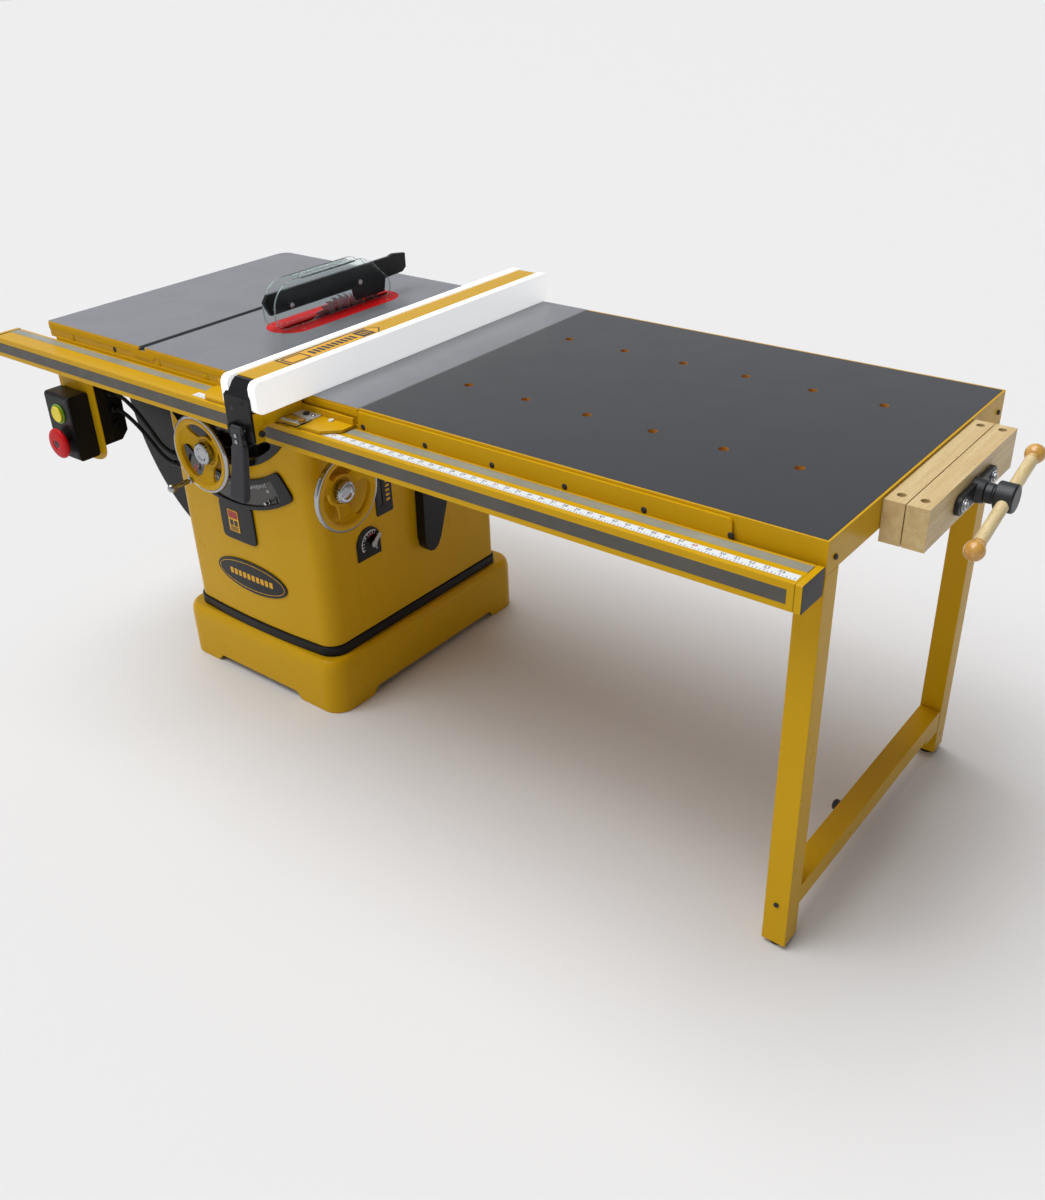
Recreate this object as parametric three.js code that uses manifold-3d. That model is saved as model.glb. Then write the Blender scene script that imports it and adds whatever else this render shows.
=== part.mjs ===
// Cabinet table saw with an extension table, a T-square rip fence and an end vise.
// Millimetres, +Z up. The parts are drawn in the saw frame: x runs right from the left end of the
// cast-iron table, y runs back from its front edge, z runs up from the floor. The exported group is
// shifted so that its origin is the middle of the whole saw's footprint, on the floor.
import * as THREE from "three";
import { mergeVertices } from "three/addons/utils/BufferGeometryUtils.js";
import { ConvexGeometry } from "three/addons/geometries/ConvexGeometry.js";
import Module from "manifold-3d";

const wasm = await Module();
wasm.setup();

// ---- driving dimensions ----
const GAP = 0.3; // between touching parts
const TABLE_TOP = 864;
const TABLE_WIDTH = 1067; // main table and both wings
const TABLE_DEPTH = 775;
const WING_WIDTH = 280;
const SKIRT_BOTTOM = 826;
const PLATE_BOTTOM = 854;
const MITRE_OFFSET = 175; // mitre slots, each side of the blade
const BLADE_X = 550; // plane of the blade, and the tilt axis
const BLADE_Y = 458;
const BLADE_Z = 771;
const BLADE_RADIUS = 127;
const INSERT_WIDTH = 120;
const INSERT_FRONT = 240;
const INSERT_BACK = 640;
const CABINET_LEFT = 311;
const CABINET_RIGHT = 822;
const CABINET_BACK = 678;
const CABINET_TOP = 841.7;
const SEAM_Y = 172; // joint between the front fascia and the cabinet shell
const SHEET = 4;
const PLINTH_TOP = 146;
const BAND_TOP = 172;
const RAIL_LEFT = -139;
const RAIL_RIGHT = 2067;
const RAIL_FRONT = -80;
const RAIL_BACK = -6;
const RAIL_BOTTOM = 774;
const RAIL_TOP = 824;
const EXTENSION_RIGHT = 2066;
const APRON_BOTTOM = 804;
const BOARD_BOTTOM = 839;
const DOG_HOLES = { firstX: 1166, pitch: 148, rows: [221, 571] };
const DOG_RADIUS = 9.5;
const LIFT_HUB = { x: 517.6, y: 8, z: 630.8 };
const TILT_HUB = { x: 866, y: 126, z: 580 };
const WHEEL_RADIUS = 95;
const WHEEL_DISH = 18; // depth of the hub's face behind the middle of the rim
const START_BUTTON = { x: 128.5, z: 682 };
const STOP_BUTTON = { x: 128.5, z: 611 };
const DUST_PORT = { x: 420, z: 250, bore: 47, flange: 66 };
const FENCE_X = 892; // middle of the fence
const FENCE_FRONT = -146;
const FENCE_BACK = 790;
const FACE_LOW = 866;
const FACE_HIGH = 933;
const VISE_Y = 402;
const VISE_Z = 817;
const JAW_WIDTH = 411;
const MOTOR_Z = 615;
const MOTOR_RADIUS = 86;
const ARC = 24; // segments on a full circle of a visible part
const SMALL_ARC = 16;

// ---- materials ----
function paint(colour, roughness, metalness) {
  return new THREE.MeshStandardMaterial({ color: colour, roughness, metalness });
}
const GOLD = paint(0xc8962a, 0.35, 0.1);
const BLACK = paint(0x1c1c1e, 0.45, 0);
const IRON = paint(0x8e8f93, 0.4, 0.8);
const STEEL = paint(0xb4b6ba, 0.3, 0.9);
const CHROME = paint(0xd8dade, 0.1, 1);
const RED = paint(0xb81e20, 0.5, 0);
const YELLOW = paint(0xe6d020, 0.4, 0);
const WHITE = paint(0xeceeec, 0.4, 0);
const LAMINATE = paint(0x3c3f42, 0.35, 0);
const RUBBER = paint(0x151515, 0.7, 0);
const BEECH = paint(0xd0b482, 0.6, 0);
const CLEAR = paint(0xdfe6e4, 0.1, 0);
const CAST = paint(0x5a5d60, 0.6, 0.5);

// ---- solids: closed meshes that can be joined and cut ----
function solid(geometry) {
  const bare = geometry.index ? geometry.toNonIndexed() : geometry;
  bare.deleteAttribute("normal");
  bare.deleteAttribute("uv");
  const merged = mergeVertices(bare, 1e-4);
  return new wasm.Manifold(
    new wasm.Mesh({
      numProp: 3,
      vertProperties: new Float32Array(merged.attributes.position.array),
      triVerts: new Uint32Array(merged.index.array),
    }),
  );
}

function geometryOf(body) {
  const mesh = body.getMesh();
  const geometry = new THREE.BufferGeometry();
  geometry.setAttribute("position", new THREE.BufferAttribute(mesh.vertProperties, 3));
  geometry.setIndex(new THREE.BufferAttribute(mesh.triVerts, 1));
  geometry.computeVertexNormals();
  return geometry;
}

function join(first, ...rest) {
  return rest.reduce((sum, piece) => sum.add(piece), first);
}

function cut(body, ...tools) {
  return tools.reduce((left, tool) => left.subtract(tool), body);
}

function box(x0, x1, y0, y1, z0, z1) {
  const geometry = new THREE.BoxGeometry(x1 - x0, y1 - y0, z1 - z0);
  return solid(geometry.translate((x0 + x1) / 2, (y0 + y1) / 2, (z0 + z1) / 2));
}

// The smallest solid round some points.
function hull(points) {
  return solid(new ConvexGeometry(points.map((p) => new THREE.Vector3(...p))));
}

const EXTRUDE_AXES = {
  x: new THREE.Matrix4().set(0, 0, 1, 0, 1, 0, 0, 0, 0, 1, 0, 0, 0, 0, 0, 1), // drawn in y, z
  y: new THREE.Matrix4().set(1, 0, 0, 0, 0, 0, -1, 0, 0, 1, 0, 0, 0, 0, 0, 1), // drawn in x, z
  z: new THREE.Matrix4(), // drawn in x, y
};

// A flat outline pushed along an axis from low to high.
function prism(axis, outline, low, high, curveSegments = 5) {
  const options = { depth: high - low, bevelEnabled: false, curveSegments };
  const geometry = new THREE.ExtrudeGeometry(outline, options).applyMatrix4(EXTRUDE_AXES[axis]);
  const shift = { x: [low, 0, 0], y: [0, high, 0], z: [0, 0, low] }[axis];
  return solid(geometry.translate(...shift));
}

// A round bar along an axis, from low to high; a and b are the other two coordinates, in order.
function rod(axis, radius, low, high, a, b, segments = SMALL_ARC, endRadius = radius) {
  const geometry = new THREE.CylinderGeometry(endRadius, radius, high - low, segments);
  const middle = (low + high) / 2;
  if (axis === "x") geometry.rotateZ(-Math.PI / 2).translate(middle, a, b);
  if (axis === "y") geometry.translate(a, middle, b);
  if (axis === "z") geometry.rotateX(Math.PI / 2).translate(a, b, middle);
  return solid(geometry);
}

// A piece turned about the y axis: profile points are [radius, y].
function turned(profile, segments = ARC) {
  const points = profile.map(([radius, y]) => new THREE.Vector2(radius, y));
  return solid(new THREE.LatheGeometry(points, segments));
}

function polygon(points) {
  return new THREE.Shape(points.map(([u, v]) => new THREE.Vector2(u, v)));
}

function roundedRect(u0, u1, v0, v1, r) {
  const shape = new THREE.Shape();
  shape.moveTo(u0 + r, v0);
  shape.lineTo(u1 - r, v0);
  shape.absarc(u1 - r, v0 + r, r, -Math.PI / 2, 0);
  shape.lineTo(u1, v1 - r);
  shape.absarc(u1 - r, v1 - r, r, 0, Math.PI / 2);
  shape.lineTo(u0 + r, v1);
  shape.absarc(u0 + r, v1 - r, r, Math.PI / 2, Math.PI);
  shape.lineTo(u0, v0 + r);
  shape.absarc(u0 + r, v0 + r, r, Math.PI, Math.PI * 1.5);
  return shape;
}

// A ring sector about (u, v); angles in degrees from straight down, positive towards +u.
function sector(u, v, inner, outer, from, to) {
  const a = THREE.MathUtils.degToRad(from - 90);
  const b = THREE.MathUtils.degToRad(to - 90);
  const shape = new THREE.Shape();
  shape.moveTo(u + inner * Math.cos(a), v + inner * Math.sin(a));
  shape.lineTo(u + outer * Math.cos(a), v + outer * Math.sin(a));
  shape.absarc(u, v, outer, a, b, false);
  shape.lineTo(u + inner * Math.cos(b), v + inner * Math.sin(b));
  shape.absarc(u, v, inner, b, a, true);
  return shape;
}

// ---- the saw ----
const saw = new THREE.Group();

function add(name, body, material, parent = saw) {
  const mesh = new THREE.Mesh(geometryOf(body), material);
  mesh.name = name;
  parent.add(mesh);
  return mesh;
}

// Plan outline of the cabinet: a slightly bowed front with round corners, grown by a margin.
function cabinetOutline(grow) {
  const left = CABINET_LEFT - grow;
  const right = CABINET_RIGHT + grow;
  const back = CABINET_BACK + grow;
  const front = 64 - grow;
  const bow = 46 - grow;
  const corner = 45 + grow;
  const rear = 20 + grow;
  const shape = new THREE.Shape();
  shape.moveTo(left + corner, front);
  shape.quadraticCurveTo((left + right) / 2, bow, right - corner, front);
  shape.absarc(right - corner, front + corner, corner, -Math.PI / 2, 0);
  shape.lineTo(right, back - rear);
  shape.absarc(right - rear, back - rear, rear, 0, Math.PI / 2);
  shape.lineTo(left + rear, back);
  shape.absarc(left + rear, back - rear, rear, Math.PI / 2, Math.PI);
  shape.lineTo(left, front + corner);
  shape.absarc(left + corner, front + corner, corner, Math.PI, Math.PI * 1.5);
  return shape;
}

// ---- base ----
function buildPlinth() {
  const left = 281;
  const right = 848;
  const front = 36;
  const back = 735;
  const wall = 8;
  const shoulder = 14;
  const lower = prism("z", roundedRect(left, right, front, back, 50), 0, 120);
  const corners = [];
  for (const [inset, z] of [[0, 120], [4, 134], [shoulder, PLINTH_TOP]]) {
    const outline = roundedRect(left + inset, right - inset, front + inset, back - inset, 50);
    for (const p of outline.getPoints(5)) corners.push([p.x, p.y, z]);
  }
  const upper = hull(corners);
  const hollow = roundedRect(left + wall, right - wall, front + wall, back - wall, 42);
  const arch = 19; // height of the cut-outs that leave the four feet
  const frontArch = polygon([[390, -1], [715, -1], [693, arch], [412, arch]]);
  const sideArch = polygon([[155, -1], [635, -1], [613, arch], [177, arch]]);
  const dustHole = box(360, 780, 130, 620, 100, 200);
  const body = cut(
    join(lower, upper),
    prism("z", hollow, -1, 112),
    prism("y", frontArch, front - 1, back + 1),
    prism("x", sideArch, left - 1, right + 1),
    dustHole,
  );
  add("plinth", body, GOLD);
}

function buildBaseBand() {
  const outer = prism("z", cabinetOutline(5), PLINTH_TOP + GAP, BAND_TOP);
  const inner = prism("z", cabinetOutline(-12), PLINTH_TOP - 1, BAND_TOP + 1);
  add("base_band", cut(outer, inner), BLACK);
}

function cabinetWall() {
  const outer = prism("z", cabinetOutline(0), BAND_TOP + GAP, CABINET_TOP);
  return cut(outer, prism("z", cabinetOutline(-SHEET), BAND_TOP, CABINET_TOP + 1));
}

function buildCabinetShell() {
  const behind = box(200, 900, SEAM_Y + GAP, 800, 100, 900);
  const motorDoorway = box(CABINET_LEFT - 20, CABINET_LEFT + 20, 340, 580, 352, 785);
  const dustHole = rod("y", DUST_PORT.bore, 600, 700, DUST_PORT.x, DUST_PORT.z, ARC);
  const tiltHole = rod("x", 12, 800, 840, TILT_HUB.y, TILT_HUB.z);
  const peg = rod("x", 6.5, CABINET_RIGHT - 2, CABINET_RIGHT + 38, 430, 492, 12); // for the push stick
  const shell = cut(cabinetWall().intersect(behind), motorDoorway, dustHole, tiltHole);
  add("cabinet_shell", join(shell, peg), GOLD);
}

function buildFrontFascia() {
  const ahead = box(200, 900, 0, SEAM_Y, 100, 900);
  const shaftSlot = prism("y", sector(BLADE_X, TABLE_TOP, 221, 248, -12, 42), 0, 110);
  const tiltHole = rod("x", 12, 800, 840, TILT_HUB.y, TILT_HUB.z);
  add("front_fascia", cut(cabinetWall().intersect(ahead), shaftSlot, tiltHole), GOLD);
}

// A plate that follows the bowed front: an outline in x, z laid on the front face.
function frontPlate(outline, thickness) {
  const zone = [BAND_TOP + 20, CABINET_TOP - 20];
  const outer = prism("z", cabinetOutline(thickness + GAP), ...zone);
  const skin = cut(outer, prism("z", cabinetOutline(GAP), zone[0] - 1, zone[1] + 1));
  return skin.intersect(prism("y", outline, 30, 100, 10));
}

function buildShaftBezel() {
  const halfMoon = sector(BLADE_X, TABLE_TOP, 96, 265, -61, 61);
  const slot = prism("y", sector(BLADE_X, TABLE_TOP, 221, 248, -12, 42), 0, 110, 12);
  add("shaft_bezel", cut(frontPlate(halfMoon, 5), slot), BLACK);
}

function buildTiltBezel() {
  const smile = frontPlate(sector(BLADE_X, TABLE_TOP, 296, 373, -35, 35), 6);
  const tongue = frontPlate(roundedRect(490, 612, 395, 520, 18), 6);
  const window = prism("y", sector(BLADE_X, TABLE_TOP, 309, 362, -28, 28), 30, 100, 10);
  add("tilt_bezel", cut(join(smile, tongue), window), BLACK);
}

// ---- cast-iron table ----
// A ribbed plate: a skirt all round, and thicker ribs under it.
function ribbedPlate(left, right, ribs, cornerRadius, openTo = 0) {
  const wall = 12;
  const plan = cornerRadius
    ? leftRoundedPlan(left, right, cornerRadius)
    : roundedRect(left, right, 0, TABLE_DEPTH, 0.1);
  const block = prism("z", plan, SKIRT_BOTTOM, TABLE_TOP);
  const hollowLeft = left + (openTo ? -1 : wall);
  const hollow = box(hollowLeft, right - wall, wall, TABLE_DEPTH - wall, 0, PLATE_BOTTOM);
  const ribLeft = openTo || left + 1;
  const bars = ribs.map((y) => box(ribLeft, right - 1, y - 5, y + 5, SKIRT_BOTTOM + 4, PLATE_BOTTOM + 1));
  return join(cut(block, hollow), ...bars);
}

function leftRoundedPlan(left, right, r) {
  const plan = new THREE.Shape();
  plan.moveTo(left, 0);
  plan.lineTo(right, 0);
  plan.lineTo(right, TABLE_DEPTH);
  plan.lineTo(left + r, TABLE_DEPTH);
  plan.absarc(left + r, TABLE_DEPTH - r, r, Math.PI / 2, Math.PI);
  return plan;
}

function stadium(grow) {
  const half = INSERT_WIDTH / 2 + grow;
  const left = BLADE_X - half;
  return roundedRect(left, BLADE_X + half, INSERT_FRONT - grow, INSERT_BACK + grow, half - 0.01);
}

function buildMainTable() {
  const left = WING_WIDTH + GAP;
  const right = TABLE_WIDTH - WING_WIDTH;
  const wall = 12;
  const block = box(left, right, 0, TABLE_DEPTH, SKIRT_BOTTOM, TABLE_TOP);
  const hollow = box(left - 1, right + 1, wall, TABLE_DEPTH - wall, 0, PLATE_BOTTOM);
  let body = join(cut(block, hollow), prism("z", stadium(8), 846, PLATE_BOTTOM + 1));
  const roof = box(400, 700, 0, TABLE_DEPTH, 700, PLATE_BOTTOM + 1);
  for (const y of [135, 641]) {
    const cradle = prism("y", sector(BLADE_X, TABLE_TOP, 66, 96, -86, 86), y, y + 13, 12);
    body = join(body, cradle.intersect(roof));
  }
  for (const x of [BLADE_X - MITRE_OFFSET, BLADE_X + MITRE_OFFSET]) {
    body = join(body, box(x - 22, x + 22, 1, TABLE_DEPTH - 1, 842, PLATE_BOTTOM + 1));
  }
  for (const x of [BLADE_X - MITRE_OFFSET, BLADE_X + MITRE_OFFSET]) {
    const slot = box(x - 9.6, x + 9.6, -1, TABLE_DEPTH + 1, 854.5, TABLE_TOP + 1);
    const undercut = box(x - 12, x + 12, -1, TABLE_DEPTH + 1, 854.5, 858);
    body = cut(body, slot, undercut);
  }
  body = cut(body, prism("z", stadium(0.4), 857.7, TABLE_TOP + 1), prism("z", stadium(-8), 800, TABLE_TOP));
  add("main_table", body, IRON);
}

function buildWings() {
  const ribs = [160, 310, 460, 610];
  add("left_wing", ribbedPlate(0, WING_WIDTH, ribs, 28), IRON);
  const rightStart = TABLE_WIDTH - WING_WIDTH + GAP;
  add("right_wing", ribbedPlate(rightStart, TABLE_WIDTH, ribs, 0, CABINET_RIGHT + 8), IRON);
}

// The blade's slot leans: it is wider to the right underneath, for the blade at 45 degrees.
function buildThroatInsert() {
  const body = prism("z", stadium(0), 858, TABLE_TOP);
  const corners = [[-8, 1], [8.2, 1], [15.2, -7], [-8, -7]];
  const slot = polygon(corners.map(([x, z]) => [BLADE_X + x, TABLE_TOP + z]));
  add("throat_insert", cut(body, prism("y", slot, 268, 626)), RED);
}

// ---- extension table ----
function buildExtension() {
  const left = TABLE_WIDTH + GAP;
  const wall = 4;
  const edge = wall + GAP;
  const board = box(left + edge, EXTENSION_RIGHT - edge, edge, TABLE_DEPTH - edge, BOARD_BOTTOM, TABLE_TOP);
  const holes = [];
  for (let i = 0; i < 6; i += 1) {
    for (const y of DOG_HOLES.rows) {
      holes.push(rod("z", DOG_RADIUS, 800, 900, DOG_HOLES.firstX + DOG_HOLES.pitch * i, y, 12));
    }
  }
  add("extension_top", cut(board, ...holes), LAMINATE);

  const ring = cut(
    box(left, EXTENSION_RIGHT, 0, TABLE_DEPTH, APRON_BOTTOM, TABLE_TOP),
    box(left + wall, EXTENSION_RIGHT - wall, wall, TABLE_DEPTH - wall, 0, 900),
  );
  const ledge = cut(
    box(left + 1, EXTENSION_RIGHT - 1, 1, TABLE_DEPTH - 1, BOARD_BOTTOM - 5, BOARD_BOTTOM - GAP),
    box(left + 34, EXTENSION_RIGHT - 34, 34, TABLE_DEPTH - 34, 0, 900),
  );
  const bars = [1388, 1684].map((x) => box(x + 12, x + 44, 2, TABLE_DEPTH - 2, 808, BOARD_BOTTOM - GAP));
  const screwHole = rod("x", 15, 2000, 2100, VISE_Y, VISE_Z, 20);
  add("extension_frame", cut(join(ring, ledge, ...bars), screwHole), GOLD);
}

function buildLegs() {
  const size = 48;
  const wall = 3;
  const left = EXTENSION_RIGHT - size;
  for (const [name, front] of [["front", 0], ["back", TABLE_DEPTH - size]]) {
    const tube = cut(
      box(left, EXTENSION_RIGHT, front, front + size, 10, APRON_BOTTOM - GAP),
      box(left + wall, EXTENSION_RIGHT - wall, front + wall, front + size - wall, 14, 900),
    );
    add(`${name}_leg`, tube, GOLD);
    add(`${name}_foot`, rod("z", 19, 0, 10 - GAP, left + size / 2, front + size / 2, 20), RUBBER);
  }
  const back = TABLE_DEPTH - size - GAP;
  const beam = cut(
    box(left + 1, EXTENSION_RIGHT - 1, size + GAP, back, 83, 127),
    box(left + 4, EXTENSION_RIGHT - 4, 0, 900, 86, 124),
  );
  const bracket = box(EXTENSION_RIGHT - 5, EXTENSION_RIGHT - 1, back - 66, back, 70, 84);
  add("leg_stretcher", join(beam, bracket), GOLD);
}

// ---- rails ----
function buildRails() {
  const cap = 13;
  const wall = 4;
  const tube = cut(
    box(RAIL_LEFT + cap + GAP, RAIL_RIGHT - cap - GAP, RAIL_FRONT, RAIL_BACK, RAIL_BOTTOM, RAIL_TOP),
    box(RAIL_LEFT, RAIL_RIGHT, RAIL_FRONT + wall, RAIL_BACK - wall, RAIL_BOTTOM + wall, RAIL_TOP - wall),
  );
  add("rail_tube", tube, GOLD);
  const capOutline = roundedRect(RAIL_FRONT - 1, RAIL_BACK, RAIL_BOTTOM, RAIL_TOP + 1, 3);
  add("rail_cap_left", prism("x", capOutline, RAIL_LEFT, RAIL_LEFT + cap, 2), BLACK);
  add("rail_cap_right", prism("x", capOutline, RAIL_RIGHT - cap, RAIL_RIGHT, 2), BLACK);

  const shelf = box(30, 1904, -60, -GAP, RAIL_BOTTOM - 6, RAIL_BOTTOM - GAP);
  const lowLeg = box(30, 1904, RAIL_BACK + GAP, -GAP, RAIL_BOTTOM - 6, 830);
  const highLeg = new THREE.Shape();
  highLeg.moveTo(TABLE_WIDTH + 4, 770);
  highLeg.lineTo(1904, 770);
  highLeg.lineTo(1904, 849);
  highLeg.absarc(1894, 849, 10, 0, Math.PI / 2);
  highLeg.lineTo(TABLE_WIDTH + 4, 859);
  add("rail_angle", join(shelf, lowLeg, prism("y", highLeg, RAIL_BACK + GAP, -GAP, 4)), GOLD);

  const rearBack = TABLE_DEPTH + 40;
  const rear = join(
    box(0, 1904, TABLE_DEPTH + GAP, TABLE_DEPTH + 6, 800, 852),
    box(0, 1904, TABLE_DEPTH + GAP, rearBack, 800, 806),
  );
  add("rear_rail", rear, GOLD);
}

// ---- switch ----
function buildSwitch() {
  const plate = new THREE.Shape();
  plate.moveTo(66, RAIL_BOTTOM - 6 - GAP);
  plate.lineTo(66, 590);
  plate.quadraticCurveTo(66, 548, 135, 548);
  plate.quadraticCurveTo(205, 548, 205, 590);
  plate.lineTo(205, RAIL_BOTTOM - 6 - GAP);
  add("switch_bracket", prism("y", plate, -44, -41), GOLD);

  const front = -100;
  const shell = prism("x", roundedRect(front, -44 - GAP, 566, 730, 8), 80, 177, 3);
  const startHole = rod("y", 7, front - 5, front + 24, START_BUTTON.x, START_BUTTON.z);
  const stopHole = rod("y", 9, front - 5, front + 24, STOP_BUTTON.x, STOP_BUTTON.z);
  add("switch_box", cut(shell, startHole, stopHole), BLACK);

  const rearBox = polygon([[-41 + GAP, 591], [14, 591], [34, 611], [34, 748], [-41 + GAP, 748]]);
  add("contactor_box", prism("x", rearBox, 92, 195), BLACK);

  const cap = [[0, -110], [17, -110], [20, -108], [20, -105], [6, -105], [6, -84], [0, -84]];
  add("start_button", turned(cap, 20).translate([START_BUTTON.x, 0, START_BUTTON.z]), YELLOW);
  const head = [[0, -127], [26, -127], [36, -123], [38, -117], [35, -112], [14, -107], [8, -105.5]];
  const mushroom = [...head, [8, -86], [0, -86]];
  add("stop_button", turned(mushroom).translate([STOP_BUTTON.x, 0, STOP_BUTTON.z]), RED);
}

// A cable along a hand-laid route.
function cable(points, radius) {
  const curve = new THREE.CatmullRomCurve3(points.map((p) => new THREE.Vector3(...p)));
  const section = new THREE.Shape().absarc(0, 0, radius, 0, Math.PI * 2);
  const options = { steps: 20, curveSegments: 4, bevelEnabled: false, extrudePath: curve };
  return solid(new THREE.ExtrudeGeometry(section, options));
}

function buildCables() {
  const upper = [
    [195.4, 6, 716], [206, 6, 716], [226, 18, 704], [248, 34, 668],
    [268, 48, 624], [286, 58, 586], [301, 70, 564], [316, 81, 556],
  ];
  const lower = [
    [195.4, 6, 676], [206, 6, 676], [224, 16, 664], [243, 32, 632],
    [262, 47, 592], [282, 58, 556], [300, 70, 536], [316, 81, 530],
  ];
  add("switch_cable", cable(upper, 5), RUBBER);
  add("motor_cable", cable(lower, 5), RUBBER);
}

// ---- cabinet side parts ----
function buildMotorCover() {
  const outline = (inset) => {
    const shape = new THREE.Shape();
    shape.moveTo(CABINET_LEFT - GAP - 0.2, 338 + inset);
    shape.lineTo(300, 338 + inset);
    shape.bezierCurveTo(150 + inset, 430 + inset, 104 + inset, 600, 100 + inset, 720);
    shape.lineTo(100 + inset, 774);
    shape.lineTo(116 + inset, 790 - inset);
    shape.lineTo(CABINET_LEFT - GAP - 0.2, 790 - inset);
    return shape;
  };
  const wall = 4;
  const front = 105;
  const back = 610;
  const inside = prism("y", outline(wall), front + wall, back - wall, 10);
  const body = cut(prism("y", outline(0), front, back, 10), inside);
  const open = box(CABINET_LEFT - 4, CABINET_LEFT + 5, front + wall, back - wall, 346, 786);
  add("motor_cover", cut(body, open), BLACK);
}

function buildDustPort() {
  const { x, z, bore, flange } = DUST_PORT;
  const start = CABINET_BACK + GAP;
  const plate = rod("y", flange, start, start + 4, x, z, ARC);
  const tube = rod("y", bore + 4, start, start + 50, x, z, ARC);
  add("dust_port", cut(join(plate, tube), rod("y", bore, start - 1, start + 60, x, z, ARC)), BLACK);
}

function buildDialLever() {
  const hub = rod("x", 9, CABINET_RIGHT + GAP, CABINET_RIGHT + 14, 224, 398, 20);
  const arm = polygon([[219, 402], [245, 421], [252, 412], [229, 394]]);
  add("dial_lever", join(hub, prism("x", arm, CABINET_RIGHT + 7, CABINET_RIGHT + 12)), CHROME);
}

function buildPushStick() {
  const outline = new THREE.Shape();
  outline.moveTo(386, 500);
  outline.lineTo(382, 345);
  outline.bezierCurveTo(384, 296, 424, 290, 440, 332);
  outline.lineTo(470, 414);
  outline.lineTo(474, 500);
  outline.bezierCurveTo(460, 530, 400, 530, 386, 500);
  const hang = rod("x", 8, 800, 900, 430, 492, 12);
  add("push_stick", cut(prism("x", outline, CABINET_RIGHT + 2, CABINET_RIGHT + 30, 5), hang), BLACK);
}

// ---- tilting and lifting gear ----
function buildTrunnion() {
  const shaftClear = rod("y", 13, 100, 200, LIFT_HUB.x, LIFT_HUB.z, 20);
  const gearSector = prism("y", sector(BLADE_X, TABLE_TOP, 60, 272, -54, 8), 118, 134, 16);
  const webFront = prism("y", sector(BLADE_X, TABLE_TOP, 60, 232, 7, 32), 118, 134);
  const webBack = prism("y", sector(BLADE_X, TABLE_TOP, 60, 232, -40, 32), 655, 668, 12);
  const bridge = box(632, 660, 119, 667, 664, 700);
  const slide = box(618, 633, 420, 500, 664, 700);
  add("trunnion", cut(join(gearSector, webFront, webBack, bridge, slide), shaftClear), CAST);
}

function buildLiftGear() {
  // the bracket carries the arbor bearing and the motor, and runs on the bridge
  const bearing = cut(
    rod("x", 30, 492, 535, BLADE_Y, BLADE_Z, 24),
    rod("x", 12.5, 480, 545, BLADE_Y, BLADE_Z, 20),
  );
  const drop = box(500, 530, 432, 484, MOTOR_Z - 30, BLADE_Z - 14);
  const foot = box(500, 617, 432, 484, MOTOR_Z - 36, MOTOR_Z - 8);
  const upright = box(600, 617, 432, 484, MOTOR_Z - 36, 706);
  const plate = box(430 + GAP, 446, 400, 520, MOTOR_Z - 60, MOTOR_Z + 40);
  const plateHole = rod("x", 14, 420, 460, BLADE_Y, MOTOR_Z, 20);
  const brace = box(445, 502, 400, 424, MOTOR_Z - 60, MOTOR_Z - 44);
  const braceFoot = box(486, 517, 400, 484, MOTOR_Z - 60, MOTOR_Z - 30);
  const knifeArm = join(
    box(519, 530, 483, 640, 700, 722),
    box(529, 548.4, 604, 640, 700, 722),
  );
  const bracket = cut(join(bearing, drop, foot, upright, plate, brace, braceFoot, knifeArm), plateHole);
  add("arbor_bracket", bracket, CAST);

  const can = rod("x", MOTOR_RADIUS, 196, 430, BLADE_Y, MOTOR_Z, 28);
  const rear = rod("x", MOTOR_RADIUS - 12, 188, 197, BLADE_Y, MOTOR_Z, 28);
  const terminal = box(240, 330, BLADE_Y - 106, BLADE_Y - 60, MOTOR_Z - 35, MOTOR_Z + 35);
  const shaftHole = rod("x", 11, 400, 440, BLADE_Y, MOTOR_Z, 20);
  add("motor", cut(join(can, rear, terminal), shaftHole), CAST);

  // pulleys: 26 mm on the arbor, 32.5 mm on the motor, so the motor turns 0.8 of the blade's turns
  const motorPulley = join(
    rod("x", 32.5, 452, 478, BLADE_Y, MOTOR_Z, 28),
    rod("x", 9, 404, 478, BLADE_Y, MOTOR_Z, SMALL_ARC),
  );
  add("motor_pulley", motorPulley, STEEL);
  const arbor = join(
    rod("x", 26, 452, 478, BLADE_Y, BLADE_Z, 28),
    rod("x", 11, 470, 560, BLADE_Y, BLADE_Z, SMALL_ARC),
    rod("x", 20, 540, 548.2, BLADE_Y, BLADE_Z, 24),
    rod("x", 12, 552, 562, BLADE_Y, BLADE_Z, 6),
  );
  add("arbor", arbor, STEEL);
  add("drive_belt", beltLoop(455, 475), RUBBER);
}

// A flat loop round the two pulleys.
function beltLoop(low, high) {
  const loop = (grow) => {
    const top = 26 + GAP + grow;
    const bottom = 32.5 + GAP + grow;
    const lean = Math.asin((bottom - top) / (BLADE_Z - MOTOR_Z));
    const shape = new THREE.Shape();
    shape.absarc(BLADE_Y, BLADE_Z, top, -lean, Math.PI + lean, false);
    shape.absarc(BLADE_Y, MOTOR_Z, bottom, Math.PI + lean, Math.PI * 2 - lean, false);
    return shape;
  };
  return cut(prism("x", loop(4), low, high, 12), prism("x", loop(0), low - 1, high + 1, 12));
}

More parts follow.
